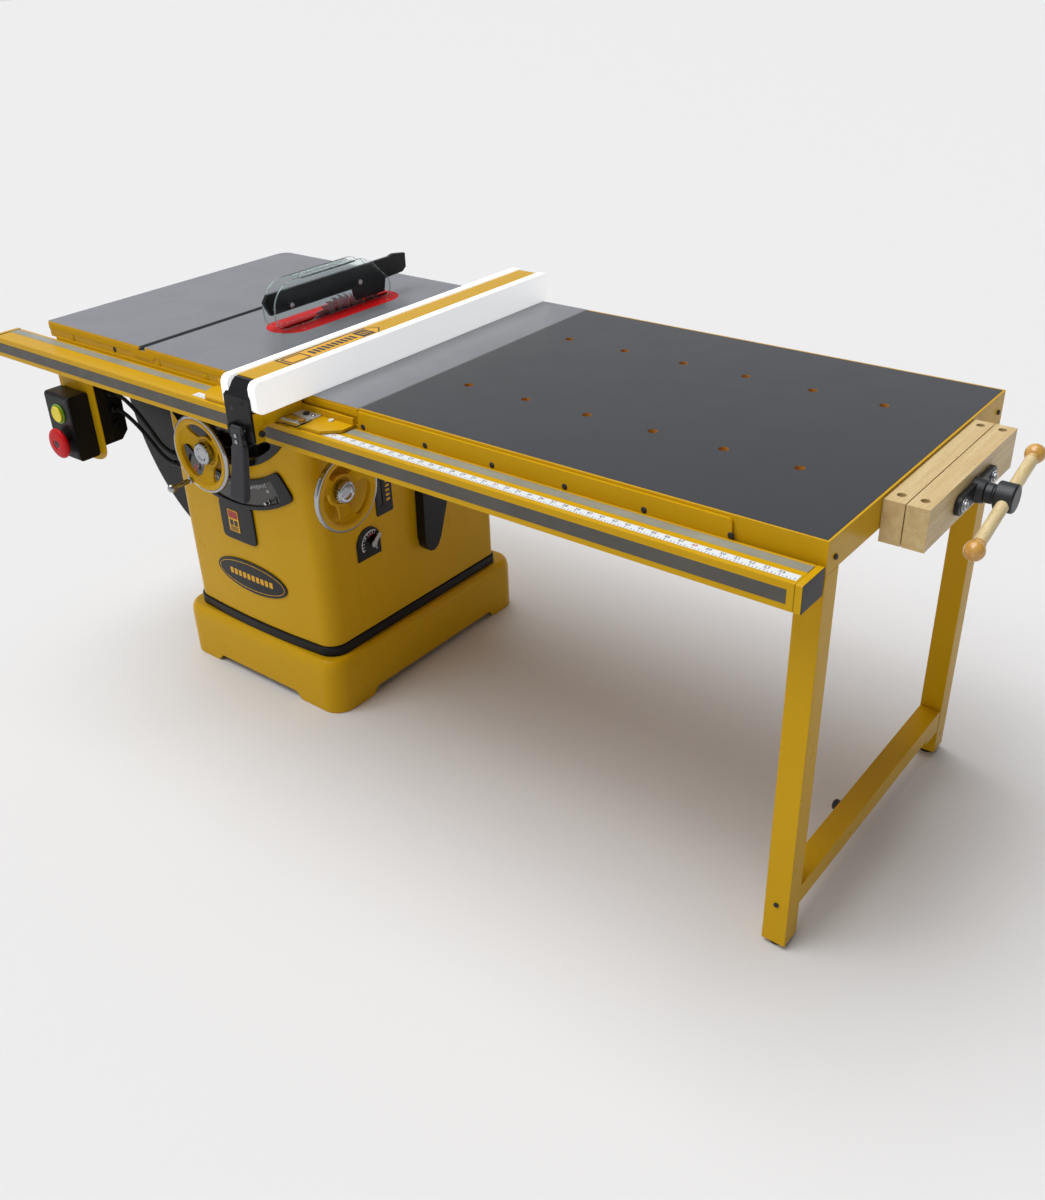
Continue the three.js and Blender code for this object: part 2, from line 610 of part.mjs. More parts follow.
function buildBlade() {
  const teeth = 40;
  const gullet = 7;
  const outline = new THREE.Shape();
  for (let i = 0; i < teeth; i += 1) {
    const tip = (i / teeth) * Math.PI * 2;
    const root = ((i + 0.12) / teeth) * Math.PI * 2;
    const back = ((i + 0.55) / teeth) * Math.PI * 2;
    const at = (angle, r) => [BLADE_Y + r * Math.cos(angle), BLADE_Z + r * Math.sin(angle)];
    if (i === 0) outline.moveTo(...at(tip, BLADE_RADIUS));
    else outline.lineTo(...at(tip, BLADE_RADIUS));
    outline.lineTo(...at(root, BLADE_RADIUS - gullet));
    outline.lineTo(...at(back, BLADE_RADIUS - gullet * 0.7));
  }
  const disc = prism("x", outline, BLADE_X - 1.4, BLADE_X + 1.4);
  add("blade", cut(disc, rod("x", 11.4, 540, 560, BLADE_Y, BLADE_Z, SMALL_ARC)), STEEL);
}

function buildGuard() {
  const knife = sector(BLADE_Y, BLADE_Z, BLADE_RADIUS + 6, BLADE_RADIUS + 38, 60, 142);
  const tang = polygon([[596, 702], [630, 702], [622, 760], [600, 760]]);
  const sides = [BLADE_X - 1.2, BLADE_X + 1.2];
  add("riving_knife", join(prism("x", knife, ...sides), prism("x", tang, ...sides)), STEEL);

  const spine = polygon([
    [222, 936], [239, 903], [506, 903], [512, 872], [612, 872], [619, 903], [684, 905], [697, 915],
    [697, 950], [655, 956], [640, 952], [236, 952],
  ]);
  const slot = box(BLADE_X - 1.7, BLADE_X + 1.7, 500, 625, 860, 912);
  add("guard_spine", cut(prism("x", spine, BLADE_X - 5, BLADE_X + 5), slot), BLACK);

  const shield = new THREE.Shape();
  shield.moveTo(262, 867);
  shield.lineTo(610, 867);
  shield.quadraticCurveTo(624, 880, 616, 905);
  shield.lineTo(560, 962);
  shield.quadraticCurveTo(545, 975, 520, 975);
  shield.lineTo(300, 975);
  shield.quadraticCurveTo(236, 972, 236, 905);
  shield.quadraticCurveTo(238, 875, 262, 867);
  const spread = 18; // gap between the blade's plane and each shield
  for (const [name, side] of [["left_shield", -1], ["right_shield", 1]]) {
    const near = BLADE_X + side * spread;
    const far = near + side * 3;
    const sheet = prism("x", shield, Math.min(near, far), Math.max(near, far), 6);
    const pins = [[516, 919], [291, 918]].map(([y, z]) => {
      const inner = BLADE_X + side * (5 + GAP);
      return rod("x", 5, Math.min(inner, near + side), Math.max(inner, near + side), y, z, 12);
    });
    add(name, join(sheet, ...pins), CLEAR);
  }
}

// ---- handwheels: the wheel is drawn about its own hub, its shaft pointing inward along +y ----
// Its web is dished, so the lock knob sits inside the rim.
function handwheel(shaftLength) {
  const rim = turned([[81, -2], [85, -7], [91, -7], [WHEEL_RADIUS, 0], [91, 7], [85, 7], [81, 2], [81, -2]]);
  const web = turned([[0, WHEEL_DISH], [33, WHEEL_DISH], [82, -2.5], [82, 2.5], [30, 30], [0, 30]]);
  const openings = [0, 1, 2].map((i) => {
    const middle = 120 * i + 180;
    return prism("y", sector(0, 0, 38, 72, middle - 38, middle + 38), -30, 40, 4);
  });
  const shaft = rod("y", 9, 29, shaftLength, 0, 0);
  return join(cut(join(rim, web), ...openings), shaft);
}

function lockKnob() {
  const back = WHEEL_DISH - GAP;
  return turned([[0, -4], [22, -4], [27, 0], [27, 12], [21, back], [0, back]]);
}

function buildLiftWheel() {
  const wheel = new THREE.Group();
  wheel.position.set(LIFT_HUB.x, LIFT_HUB.y, LIFT_HUB.z);
  saw.add(wheel);
  const screw = rod("y", 16, 300, 330, 0, 0, 20);
  add("lift_wheel", join(handwheel(330), screw), GOLD, wheel);
  add("lift_lock_knob", lockKnob(), CHROME, wheel);
  const root = -7.5 - GAP;
  const ball = [[0, -75], [8, -73], [11, -66], [8, -58]];
  const crank = turned([...ball, [5, -54], [6.5, -30], [5, root], [0, root]], 20);
  add("crank_handle", crank.translate([-47, 0, -74]), CHROME, wheel);
}

function buildTiltWheel() {
  const wheel = new THREE.Group();
  wheel.position.set(TILT_HUB.x, TILT_HUB.y, TILT_HUB.z);
  wheel.rotation.z = Math.PI / 2; // the shaft now points along -x, into the cabinet
  saw.add(wheel);
  const reach = TILT_HUB.x - BLADE_X;
  const worm = rod("y", 11.4, reach - 30, reach + 30, 0, 0, 20);
  add("tilt_wheel", join(handwheel(reach + 40), worm), GOLD, wheel);
  add("tilt_lock_knob", lockKnob(), CHROME, wheel);
}

// ---- rip fence ----
function buildFence() {
  const half = 50;
  const thick = 20;
  const faceOutline = roundedRect(FENCE_FRONT, FENCE_BACK, FACE_LOW, FACE_HIGH, 17);
  const left = FENCE_X - half;
  const right = FENCE_X + half;
  add("fence_face_left", prism("x", faceOutline, left, left + thick, 5), WHITE);
  add("fence_face_right", prism("x", faceOutline, right - thick, right, 5), WHITE);

  const wall = 3;
  const inner = [left + thick + GAP, right - thick - GAP];
  const beam = cut(
    box(inner[0], inner[1], -118, FENCE_BACK - 12, FACE_LOW + 1, FACE_HIGH - 3),
    box(inner[0] + wall, inner[1] - wall, -200, FENCE_BACK + 1, FACE_LOW + 4, FACE_HIGH - 6),
  );
  add("fence_beam", beam, GOLD);

  const bar = new THREE.Shape();
  bar.moveTo(650, -8);
  bar.lineTo(650, -40);
  bar.lineTo(680, -72);
  bar.lineTo(1030, -72);
  bar.lineTo(1063, -42);
  bar.lineTo(1063, -8);
  const plate = prism("z", bar, RAIL_TOP + 1.5, RAIL_TOP + 7.5);
  const flange = box(650, 1063, -12, -7.5, RAIL_TOP + 1.5, RAIL_TOP + 21);
  const pedestal = box(866, 918, -118, -12, RAIL_TOP + 7, FACE_LOW + 1 - GAP);
  const cheeks = join(
    box(852, 857, -146, -122, 805, FACE_LOW - GAP),
    box(921, 926, -146, -122, 805, FACE_LOW - GAP),
    box(852, 926, -146, -116, RAIL_TOP + 8, RAIL_TOP + 14),
  );
  add("fence_bar", join(plate, flange, pedestal, cheeks), GOLD);

  const headBack = FENCE_FRONT - GAP;
  const plateHead = box(852, 926, -152, headBack, 808, 898);
  const crown = hull([
    [852, -152, 897], [926, -152, 897], [852, headBack, 897], [926, headBack, 897],
    [866, -128, 929], [914, -128, 929], [866, -120, 929], [914, -120, 929],
    [866, -120, 912], [914, -120, 912],
  ]);
  const ears = join(box(866, 873, -165, -151, 828, 842), box(905, 912, -165, -151, 828, 842));
  const besideFaces = join(
    box(left - 1, left + thick + GAP, headBack, 0, FACE_LOW - 1, 960),
    box(right - thick - GAP, right + 1, headBack, 0, FACE_LOW - 1, 960),
  );
  add("fence_head", join(cut(join(plateHead, crown), besideFaces), ears), BLACK);
}

function buildLockLever() {
  const knuckle = rod("x", 6.5, 874, 904, -159, 835, 20);
  const stem = box(874, 904, -165.5, -152.6, 794, 835);
  const grip = hull([
    [869, -167, 800], [909, -167, 800], [869, -153, 800], [909, -153, 800],
    [863, -190, 692], [915, -190, 692], [863, -172, 688], [915, -172, 688],
  ]);
  add("lock_lever", join(knuckle, stem, grip), BLACK);
}

// ---- end vise ----
function buildVise() {
  const front = VISE_Y - JAW_WIDTH / 2;
  const back = VISE_Y + JAW_WIDTH / 2;
  const dogs = [front + 30, back - 22];
  const jaw = (low, high) => {
    const block = box(low, high, front, back, 782, 859);
    const holes = dogs.map((y) => rod("z", 8, 700, 900, (low + high) / 2, y, 14));
    return cut(block, ...holes, rod("x", 16, low - 1, high + 1, VISE_Y, VISE_Z, 20));
  };
  const fixedLeft = EXTENSION_RIGHT + 1;
  add("fixed_jaw", jaw(fixedLeft, fixedLeft + 37), BEECH);
  const movingLeft = fixedLeft + 37 + 2;
  const movingRight = movingLeft + 39;
  add("moving_jaw", jaw(movingLeft, movingRight), BEECH);

  const flangeLeft = movingRight + GAP;
  const plate = roundedRect(VISE_Y - 92, VISE_Y + 92, VISE_Z - 18, VISE_Z + 18, 17.9);
  const flange = prism("x", plate, flangeLeft, flangeLeft + 9, 6);
  const boss = rod("x", 24, flangeLeft, flangeLeft + 22, VISE_Y, VISE_Z, 24, 20);
  const bore = rod("x", 14.5, flangeLeft - 1, flangeLeft + 30, VISE_Y, VISE_Z, 24);
  add("vise_flange", cut(join(flange, boss), bore), BLACK);

  const hubLeft = flangeLeft + 22 + GAP;
  const hubRight = 2219;
  const handleX = 2204;
  const tilt = THREE.MathUtils.degToRad(16.8);
  const barRadius = 11.5;
  const screw = join(
    rod("x", 18, hubLeft, hubRight - 10, VISE_Y, VISE_Z, 24),
    rod("x", 26, handleX - 18, hubRight, VISE_Y, VISE_Z, 24),
    rod("x", 13.5, fixedLeft - 180, hubLeft + 1, VISE_Y, VISE_Z, 20),
  );
  const bar = new THREE.CylinderGeometry(barRadius + 0.6, barRadius + 0.6, 90, 16);
  const across = bar.rotateX(tilt).translate(handleX, VISE_Y, VISE_Z);
  add("vise_screw", cut(screw, solid(across)), BLACK);

  const reach = 135;
  const ball = 18;
  const slid = 8.6; // how far the bar has slid towards the front
  const handle = join(
    solid(new THREE.CylinderGeometry(barRadius, barRadius, reach * 2, 16)),
    solid(new THREE.SphereGeometry(ball, 16, 10).translate(0, reach, 0)),
    solid(new THREE.SphereGeometry(ball, 16, 10).translate(0, -reach, 0)),
  );
  const mesh = add("vise_handle", handle, BEECH);
  mesh.position.set(handleX, VISE_Y - slid * Math.cos(tilt), VISE_Z - slid * Math.sin(tilt));
  mesh.rotation.x = tilt;
}

buildPlinth();
buildBaseBand();
buildCabinetShell();
buildFrontFascia();
buildShaftBezel();
buildTiltBezel();
buildMainTable();
buildWings();
buildThroatInsert();
buildExtension();
buildLegs();
buildRails();
buildSwitch();
buildCables();
buildMotorCover();
buildDustPort();
buildDialLever();
buildPushStick();
buildTrunnion();
buildLiftGear();
buildBlade();
buildGuard();
buildLiftWheel();
buildTiltWheel();
buildFence();
buildLockLever();
buildVise();

// the origin goes to the middle of the footprint, on the floor
saw.updateMatrixWorld(true);
const extent = new THREE.Box3().setFromObject(saw, true);
const middle = extent.getCenter(new THREE.Vector3());
const model = new THREE.Group();
saw.position.set(-middle.x, -middle.y, -extent.min.z);
model.add(saw);

export default model;
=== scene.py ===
"""Cabinet table saw: the looks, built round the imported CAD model.

Pieces are drawn in the saw frame, in millimetres: x runs right from the left end of the cast-iron
table, y runs back from its front edge and z runs up from the floor. piece() moves them to the row
frame, in metres, when it makes the object.
"""
import math

import bmesh
import bpy
from mathutils import Matrix, Vector


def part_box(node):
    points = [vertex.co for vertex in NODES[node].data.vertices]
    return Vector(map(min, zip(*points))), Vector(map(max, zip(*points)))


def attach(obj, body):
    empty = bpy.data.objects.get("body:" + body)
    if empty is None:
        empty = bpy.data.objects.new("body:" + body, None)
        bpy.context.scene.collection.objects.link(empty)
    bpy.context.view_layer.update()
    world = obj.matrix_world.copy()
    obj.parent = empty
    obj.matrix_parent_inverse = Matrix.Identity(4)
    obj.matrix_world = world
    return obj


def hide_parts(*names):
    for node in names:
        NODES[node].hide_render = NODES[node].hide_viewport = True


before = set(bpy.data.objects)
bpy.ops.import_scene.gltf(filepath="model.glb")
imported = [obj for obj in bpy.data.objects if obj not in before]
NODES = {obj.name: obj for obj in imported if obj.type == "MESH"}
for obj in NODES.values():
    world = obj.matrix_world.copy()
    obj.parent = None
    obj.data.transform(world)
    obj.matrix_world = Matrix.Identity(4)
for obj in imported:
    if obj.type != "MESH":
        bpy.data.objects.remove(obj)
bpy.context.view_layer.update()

MM = 0.001
TABLE_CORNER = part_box("left_wing")[0]
TO_ROW = Matrix.Translation((TABLE_CORNER.x, TABLE_CORNER.y, 0)) @ Matrix.Scale(MM, 4)
TO_SAW = TO_ROW.inverted()


class Box:
    """A CAD node's limits in the saw frame, in millimetres."""

    def __init__(self, node):
        low, high = (TO_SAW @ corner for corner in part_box(node))
        self.x0, self.y0, self.z0 = low
        self.x1, self.y1, self.z1 = high
        self.x, self.y, self.z = (low + high) / 2


# ---------------------------------------------------------------- camera, floor and lights
CAMERA_PLACE = Vector((1.659, -1.8308, 1.7056))
CAMERA_AIM = Vector((-0.5443989, 0.66996276, -0.50475711))
CAMERA_RIGHT = Vector((0.78714972, 0.61596189, -0.03140503))
CAMERA_LENS = 35.61


def make_camera():
    data = bpy.data.cameras.new("camera")
    data.lens = CAMERA_LENS
    data.sensor_width = 36
    camera = bpy.data.objects.new("camera", data)
    bpy.context.scene.collection.objects.link(camera)
    up = CAMERA_RIGHT.cross(CAMERA_AIM).normalized()
    turn = Matrix((CAMERA_RIGHT, up, -CAMERA_AIM)).transposed()
    camera.matrix_world = Matrix.Translation(CAMERA_PLACE) @ turn.to_4x4()
    bpy.context.scene.camera = camera


def sun(name, source, strength, angle):
    """A wide sun shining from a direction towards the saw."""
    data = bpy.data.lights.new(name, "SUN")
    data.energy = strength
    data.angle = math.radians(angle)
    light = bpy.data.objects.new(name, data)
    bpy.context.scene.collection.objects.link(light)
    light.rotation_mode = "QUATERNION"
    light.rotation_quaternion = (-Vector(source)).to_track_quat("-Z", "Y")


def make_sky(tree, background):
    """Bright low on the left and behind, dimmer overhead and on the right."""
    place = tree.nodes.new("ShaderNodeTexCoord")
    parts = tree.nodes.new("ShaderNodeSeparateXYZ")
    tree.links.new(place.outputs["Generated"], parts.inputs["Vector"])
    ramps = []
    for axis, start, stops in (("Z", 0.0, SKY_BY_HEIGHT), ("X", -1.0, SKY_BY_SIDE)):
        share = spread(tree, parts.outputs[axis], 0, 1, start, 1)
        ramp = tree.nodes.new("ShaderNodeValToRGB")
        elements = ramp.color_ramp.elements
        elements[0].position, elements[1].position = stops[0][0], stops[-1][0]
        for position, _ in stops[1:-1]:
            elements.new(position)
        for element, (_, level) in zip(elements, stops):
            element.color = (level, level, level * 1.02, 1)
        tree.links.new(share, ramp.inputs["Fac"])
        ramps.append(ramp.outputs["Color"])
    product = tree.nodes.new("ShaderNodeVectorMath")
    product.operation = "MULTIPLY"
    tree.links.new(ramps[0], product.inputs[0])
    tree.links.new(ramps[1], product.inputs[1])
    tree.links.new(product.outputs["Vector"], background.inputs["Color"])


SKY_BY_HEIGHT = [(0.0, 1.0), (0.35, 0.85), (0.6, 0.55), (1.0, 0.4)]
SKY_BY_SIDE = [(0.0, 1.0), (0.5, 0.85), (0.75, 0.4), (1.0, 0.25)]


def make_studio():
    scene = bpy.context.scene
    scene.view_settings.view_transform = "Standard"
    world = bpy.data.worlds.new("studio")
    scene.world = world
    world.use_nodes = True
    background = world.node_tree.nodes["Background"]
    background.inputs["Strength"].default_value = 0.75
    make_sky(world.node_tree, background)
    sun("overhead", (-0.3, 0.0, 1), 2.1, 50)
    sun("key", (-0.5, -1, 1.8), 0.9, 35)

    bpy.ops.mesh.primitive_plane_add(size=60)
    floor = bpy.context.object
    floor.name = "floor"
    floor.data.materials.append(new_material("studio_floor", (0.72, 0.72, 0.72), 0.95)[0])


# ---------------------------------------------------------------- materials
def srgb(red, green, blue):
    """A linear colour from 0..255 screen values."""
    def linear(value):
        share = value / 255
        return share / 12.92 if share <= 0.04045 else ((share + 0.055) / 1.055) ** 2.4

    return linear(red), linear(green), linear(blue)


def new_material(name, colour, roughness, metallic=0.0, **inputs):
    material = bpy.data.materials.new(name)
    material.use_nodes = True
    tree = material.node_tree
    shader = tree.nodes["Principled BSDF"]
    shader.inputs["Base Color"].default_value = (*colour, 1)
    shader.inputs["Roughness"].default_value = roughness
    shader.inputs["Metallic"].default_value = metallic
    for key, value in inputs.items():
        shader.inputs[key.replace("_", " ")].default_value = value
    return material, tree, shader


def noise(tree, scale, detail=3.0, stretch=(1, 1, 1), distortion=0.0):
    """A noise in object space; scale is in blobs per metre, stretch divides it along x, y and z."""
    place = tree.nodes.new("ShaderNodeTexCoord")
    mapping = tree.nodes.new("ShaderNodeMapping")
    mapping.inputs["Scale"].default_value = [scale / s for s in stretch]
    texture = tree.nodes.new("ShaderNodeTexNoise")
    texture.inputs["Scale"].default_value = 1.0
    texture.inputs["Detail"].default_value = detail
    texture.inputs["Distortion"].default_value = distortion
    tree.links.new(place.outputs["Object"], mapping.inputs["Vector"])
    tree.links.new(mapping.outputs["Vector"], texture.inputs["Vector"])
    return texture.outputs["Fac"]


def spread(tree, value, low, high, start=0.3, end=0.7):
    """Maps a noise from start..end to low..high."""
    node = tree.nodes.new("ShaderNodeMapRange")
    node.inputs["From Min"].default_value = start
    node.inputs["From Max"].default_value = end
    node.inputs["To Min"].default_value = low
    node.inputs["To Max"].default_value = high
    tree.links.new(value, node.inputs["Value"])
    return node.outputs["Result"]


def mix(tree, factor, first, second):
    """Mixes two colours, each a colour or a socket, by a socket."""
    node = tree.nodes.new("ShaderNodeMix")
    node.data_type = "RGBA"
    tree.links.new(factor, node.inputs["Factor"])
    for key, value in (("A", first), ("B", second)):
        socket = next(s for s in node.inputs if s.name == key and s.type == "RGBA")
        if isinstance(value, tuple):
            socket.default_value = (*value, 1)
        else:
            tree.links.new(value, socket)
    return next(s for s in node.outputs if s.type == "RGBA")


def bump(tree, shader, height, distance, strength=1.0):
    node = tree.nodes.new("ShaderNodeBump")
    node.inputs["Distance"].default_value = distance
    node.inputs["Strength"].default_value = strength
    tree.links.new(height, node.inputs["Height"])
    tree.links.new(node.outputs["Normal"], shader.inputs["Normal"])


def darker(colour, share):
    return tuple(channel * share for channel in colour)


def painted(name, colour, roughness=0.3, peel=0.00008, variation=0.965):
    """Sprayed enamel: slight orange peel, faint clouds in the colour and in the gloss."""
    material, tree, shader = new_material(name, colour, roughness, Coat_Weight=0.04, Coat_Roughness=0.08,
                                          Specular_IOR_Level=0.1)
    clouds = spread(tree, noise(tree, 5, 4), 0, 1)
    tree.links.new(mix(tree, clouds, colour, darker(colour, variation)), shader.inputs["Base Color"])
    gloss = spread(tree, noise(tree, 22, 5), roughness - 0.03, roughness + 0.05)
    tree.links.new(gloss, shader.inputs["Roughness"])
    bump(tree, shader, noise(tree, 240, 2), peel, 0.12)
    return material


def moulded(name, colour, roughness, grain=900, depth=0.00008, variation=0.8, **inputs):
    """Moulded plastic or rubber: fine grain, slightly uneven gloss."""
    material, tree, shader = new_material(name, colour, roughness, **inputs)
    clouds = spread(tree, noise(tree, 14, 4), 0, 1)
    tree.links.new(mix(tree, clouds, colour, darker(colour, variation)), shader.inputs["Base Color"])
    gloss = spread(tree, noise(tree, 60, 5), roughness - 0.05, roughness + 0.07)
    tree.links.new(gloss, shader.inputs["Roughness"])
    bump(tree, shader, noise(tree, grain, 2), depth, 0.6)
    return material


def metal(name, colour, roughness, stretch=(1, 1, 1), scale=260, depth=0.00004, variation=0.88):
    """Bare metal with tool marks that run along the axis with the largest stretch."""
    material, tree, shader = new_material(name, colour, roughness, 1.0)
    marks = noise(tree, scale, 4, stretch)
    tree.links.new(mix(tree, spread(tree, marks, 0, 1), colour, darker(colour, variation)),
                   shader.inputs["Base Color"])
    gloss = spread(tree, noise(tree, scale / 3, 4, stretch), roughness - 0.06, roughness + 0.1)
    tree.links.new(gloss, shader.inputs["Roughness"])
    bump(tree, shader, marks, depth, 0.5)
    return material


GOLD = srgb(204, 158, 14)
IRON = srgb(150, 152, 157)


def axis_value(tree, source, axis):
    """One coordinate of the object-space position ("Object") or of the face's direction ("Normal")."""
    place = tree.nodes.new("ShaderNodeTexCoord")
    parts = tree.nodes.new("ShaderNodeSeparateXYZ")
    tree.links.new(place.outputs[source], parts.inputs["Vector"])
    return parts.outputs[axis]


def calculate(tree, operation, first, second=0.0):
    node = tree.nodes.new("ShaderNodeMath")
    node.operation = operation
    for socket, value in zip(node.inputs, (first, second)):
        if isinstance(value, float):
            socket.default_value = value
        else:
            tree.links.new(value, socket)
    return node.outputs["Value"]


def machined_mask(tree):
    """1 on the ground top and inside the mitre slots, 0 on the painted skirts and underneath."""
    low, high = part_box("main_table")
    above = calculate(tree, "GREATER_THAN", axis_value(tree, "Object", "Z"), high.z - 0.0022)
    facing_up = calculate(tree, "GREATER_THAN", axis_value(tree, "Normal", "Z"), 0.5)
    inside = []
    for offset in (-0.175, 0.175):
        middle = (Box("blade").x * MM + TABLE_CORNER.x) + offset
        near = calculate(tree, "SUBTRACT", axis_value(tree, "Object", "X"), middle)
        inside.append(calculate(tree, "LESS_THAN", calculate(tree, "ABSOLUTE", near), 0.0125))
    slot = calculate(tree, "MAXIMUM", *inside)
    ahead = calculate(tree, "GREATER_THAN", axis_value(tree, "Object", "Y"), low.y + 0.0005)
    high_enough = calculate(tree, "GREATER_THAN", axis_value(tree, "Object", "Z"), high.z - 0.0098)
    slot = calculate(tree, "MULTIPLY", calculate(tree, "MULTIPLY", slot, ahead), high_enough)
    top = calculate(tree, "MULTIPLY", above, facing_up)
    return calculate(tree, "MAXIMUM", top, slot)


def ground_iron():
    """The table: ground top with fine marks along y and faint mottling, painted skirt."""
    material, tree, shader = new_material("ground_iron", IRON, 0.3, 1.0)
    mask = machined_mask(tree)
    marks = noise(tree, 420, 3, (1, 40, 1))
    mottle = spread(tree, noise(tree, 9, 5), 0, 1)
    iron = mix(tree, mottle, IRON, darker(IRON, 0.9))
    tree.links.new(mix(tree, mask, GOLD, iron), shader.inputs["Base Color"])
    metallic = spread(tree, mask, 0.0, 0.7, 0, 1)
    tree.links.new(metallic, shader.inputs["Metallic"])
    gloss = spread(tree, marks, 0.32, 0.44)
    tree.links.new(gloss, shader.inputs["Roughness"])
    bump(tree, shader, marks, 0.00003, 0.3)
    return material


def laminate():
    """Dark laminate with a fine speckle; the cut edges show golden board."""
    base = srgb(47, 50, 53)
    material, tree, shader = new_material("dark_laminate", base, 0.3, Specular_IOR_Level=0.35)
    speckle = spread(tree, noise(tree, 900, 2), 0, 1, 0.35, 0.65)
    face = mix(tree, speckle, base, darker(base, 0.97))
    up = spread(tree, axis_value(tree, "Normal", "Z"), 0, 1, 0.4, 0.6)
    chips = spread(tree, noise(tree, 300, 4, (1, 1, 0.2)), 0, 1)
    board = mix(tree, chips, srgb(214, 150, 60), srgb(160, 104, 40))
    tree.links.new(mix(tree, up, board, face), shader.inputs["Base Color"])
    tree.links.new(spread(tree, noise(tree, 12, 3), 0.3, 0.34), shader.inputs["Roughness"])
    return material


def wood(name, light, dark, roughness, coat, along="y"):
    """Straight-grained wood: long bands, fibres and small flecks that run along one axis."""
    material, tree, shader = new_material(name, light, roughness, Coat_Weight=coat, Coat_Roughness=0.15)
    stretch = {"x": (14, 1, 1), "y": (1, 14, 1), "z": (1, 1, 14)}[along]
    bands = noise(tree, 70, 3, stretch, 0.6)
    fibres = noise(tree, 800, 3, stretch)
    flecks = noise(tree, 420, 2, tuple(1 + (s - 1) * 0.3 for s in stretch))
    grain = mix(tree, spread(tree, bands, 0, 1, 0.35, 0.65), light, dark)
    fine = mix(tree, spread(tree, fibres, 0, 0.45), grain, darker(dark, 0.85))
    spots = mix(tree, spread(tree, flecks, 0, 0.55, 0.62, 0.7), fine, darker(dark, 0.6))
    tree.links.new(spots, shader.inputs["Base Color"])
    tree.links.new(spread(tree, bands, roughness - 0.06, roughness + 0.08), shader.inputs["Roughness"])
    bump(tree, shader, fibres, 0.00008, 0.5)
    return material


def clear_plastic(name="clear_shield", tint=(0.93, 0.97, 0.96), haze=0.05, clearness=1.0):
    material, tree, shader = new_material(name, tint, haze, Transmission_Weight=clearness, IOR=1.2)
    tree.links.new(spread(tree, noise(tree, 40, 4), haze, haze + 0.08), shader.inputs["Roughness"])
    bump(tree, shader, noise(tree, 25, 2), 0.0002, 0.15)
    return material


def cast(name, colour, roughness=0.55, metallic=0.4):
    """Sand-cast surface under a thin grey coat."""
    material, tree, shader = new_material(name, colour, roughness, metallic)
    tree.links.new(mix(tree, spread(tree, noise(tree, 35, 5), 0, 1), colour, darker(colour, 0.7)),
                   shader.inputs["Base Color"])
    bump(tree, shader, noise(tree, 380, 4), 0.0004, 0.5)
    return material


M = {
    "gold_paint": painted("gold_paint", GOLD),
    "black_plastic": moulded("black_plastic", srgb(17, 18, 20), 0.32, Specular_IOR_Level=0.2),
    "gloss_black": moulded("gloss_black", srgb(10, 10, 11), 0.12, depth=0.00002, Specular_IOR_Level=0.3),
    "cast_iron": ground_iron(),
    "red_insert": moulded("red_insert", srgb(204, 10, 12), 0.5, grain=500, depth=0.00003, variation=0.95,
                          Specular_IOR_Level=0.12),
    "dark_laminate": laminate(),
    "rubber": moulded("rubber", srgb(18, 18, 19), 0.6, grain=600, depth=0.00006, Specular_IOR_Level=0.25),
    "grey_casting": cast("grey_casting", srgb(104, 108, 112)),
    "steel": metal("steel", srgb(178, 181, 186), 0.28, (1, 1, 8)),
    "bright_steel": cast("bright_steel", srgb(206, 209, 213), 0.3, 0.3),
    "chrome": metal("chrome", srgb(172, 174, 178), 0.11, scale=60, depth=0.00001, variation=0.95),
    "clear_shield": clear_plastic(),
    "clear_edge": clear_plastic("clear_edge", (0.74, 0.85, 0.83), 0.25, 0.85),
    # white_plastic glows a little (emission 0.52): painted light that makes the fence faces look brighter than
    # the studio lamps light them
    "white_plastic": moulded("white_plastic", srgb(240, 242, 243), 0.34, depth=0.00005, variation=0.975,
                             Emission_Color=(1, 1, 1, 1), Emission_Strength=0.52),
    "yellow_plastic": moulded("yellow_plastic", srgb(236, 214, 24), 0.28, variation=0.9),
    "red_plastic": moulded("red_plastic", srgb(196, 10, 18), 0.4, variation=0.9, Specular_IOR_Level=0.2),
    "beech": wood("beech", srgb(216, 194, 142), srgb(204, 174, 120), 0.45, 0.06),
    "turned_beech": wood("turned_beech", srgb(230, 212, 164), srgb(212, 188, 136), 0.35, 0.3),
    "lacquered_ball": wood("lacquered_ball", srgb(216, 168, 84), srgb(200, 146, 62), 0.25, 0.5),
    "black_iron": cast("black_iron", srgb(36, 38, 41), 0.42, 0.1),
    "grip_grey": moulded("grip_grey", srgb(50, 50, 55), 0.5, grain=500, depth=0.0001, Specular_IOR_Level=0.3),
    "strip_grey": moulded("strip_grey", srgb(88, 85, 78), 0.45, grain=400, depth=0.00003,
                          Specular_IOR_Level=0.3),
    "slide_grey": moulded("slide_grey", srgb(150, 152, 140), 0.4, grain=400, depth=0.00005),
    "tape_white": moulded("tape_white", srgb(226, 232, 236), 0.3, depth=0.00002, variation=0.97),
    "black_marks_and_painted_shade": moulded("black_marks_and_painted_shade", srgb(20, 20, 22), 0.4),
    "mark_red": moulded("mark_red", srgb(190, 30, 36), 0.4),
    "mark_gold": painted("mark_gold", srgb(226, 170, 50), 0.35),
    "smoked": moulded("smoked", srgb(58, 56, 50), 0.2, depth=0.00002),
    "green_plastic": moulded("green_plastic", srgb(120, 170, 40), 0.3),
    "label_red": moulded("label_red", srgb(176, 44, 36), 0.4),
    "brass": metal("brass", srgb(206, 152, 62), 0.25, scale=120),
    "carbide": metal("carbide", srgb(120, 122, 128), 0.35, scale=120),
}


# ---------------------------------------------------------------- shapes, in saw-frame millimetres
TURN = {
    "x": Matrix(((0, 0, 1, 0), (1, 0, 0, 0), (0, 1, 0, 0), (0, 0, 0, 1))),  # drawn in y, z
    "y": Matrix(((1, 0, 0, 0), (0, 0, 1, 0), (0, 1, 0, 0), (0, 0, 0, 1))),  # drawn in x, z
    "z": Matrix.Identity(4),  # drawn in x, y
}


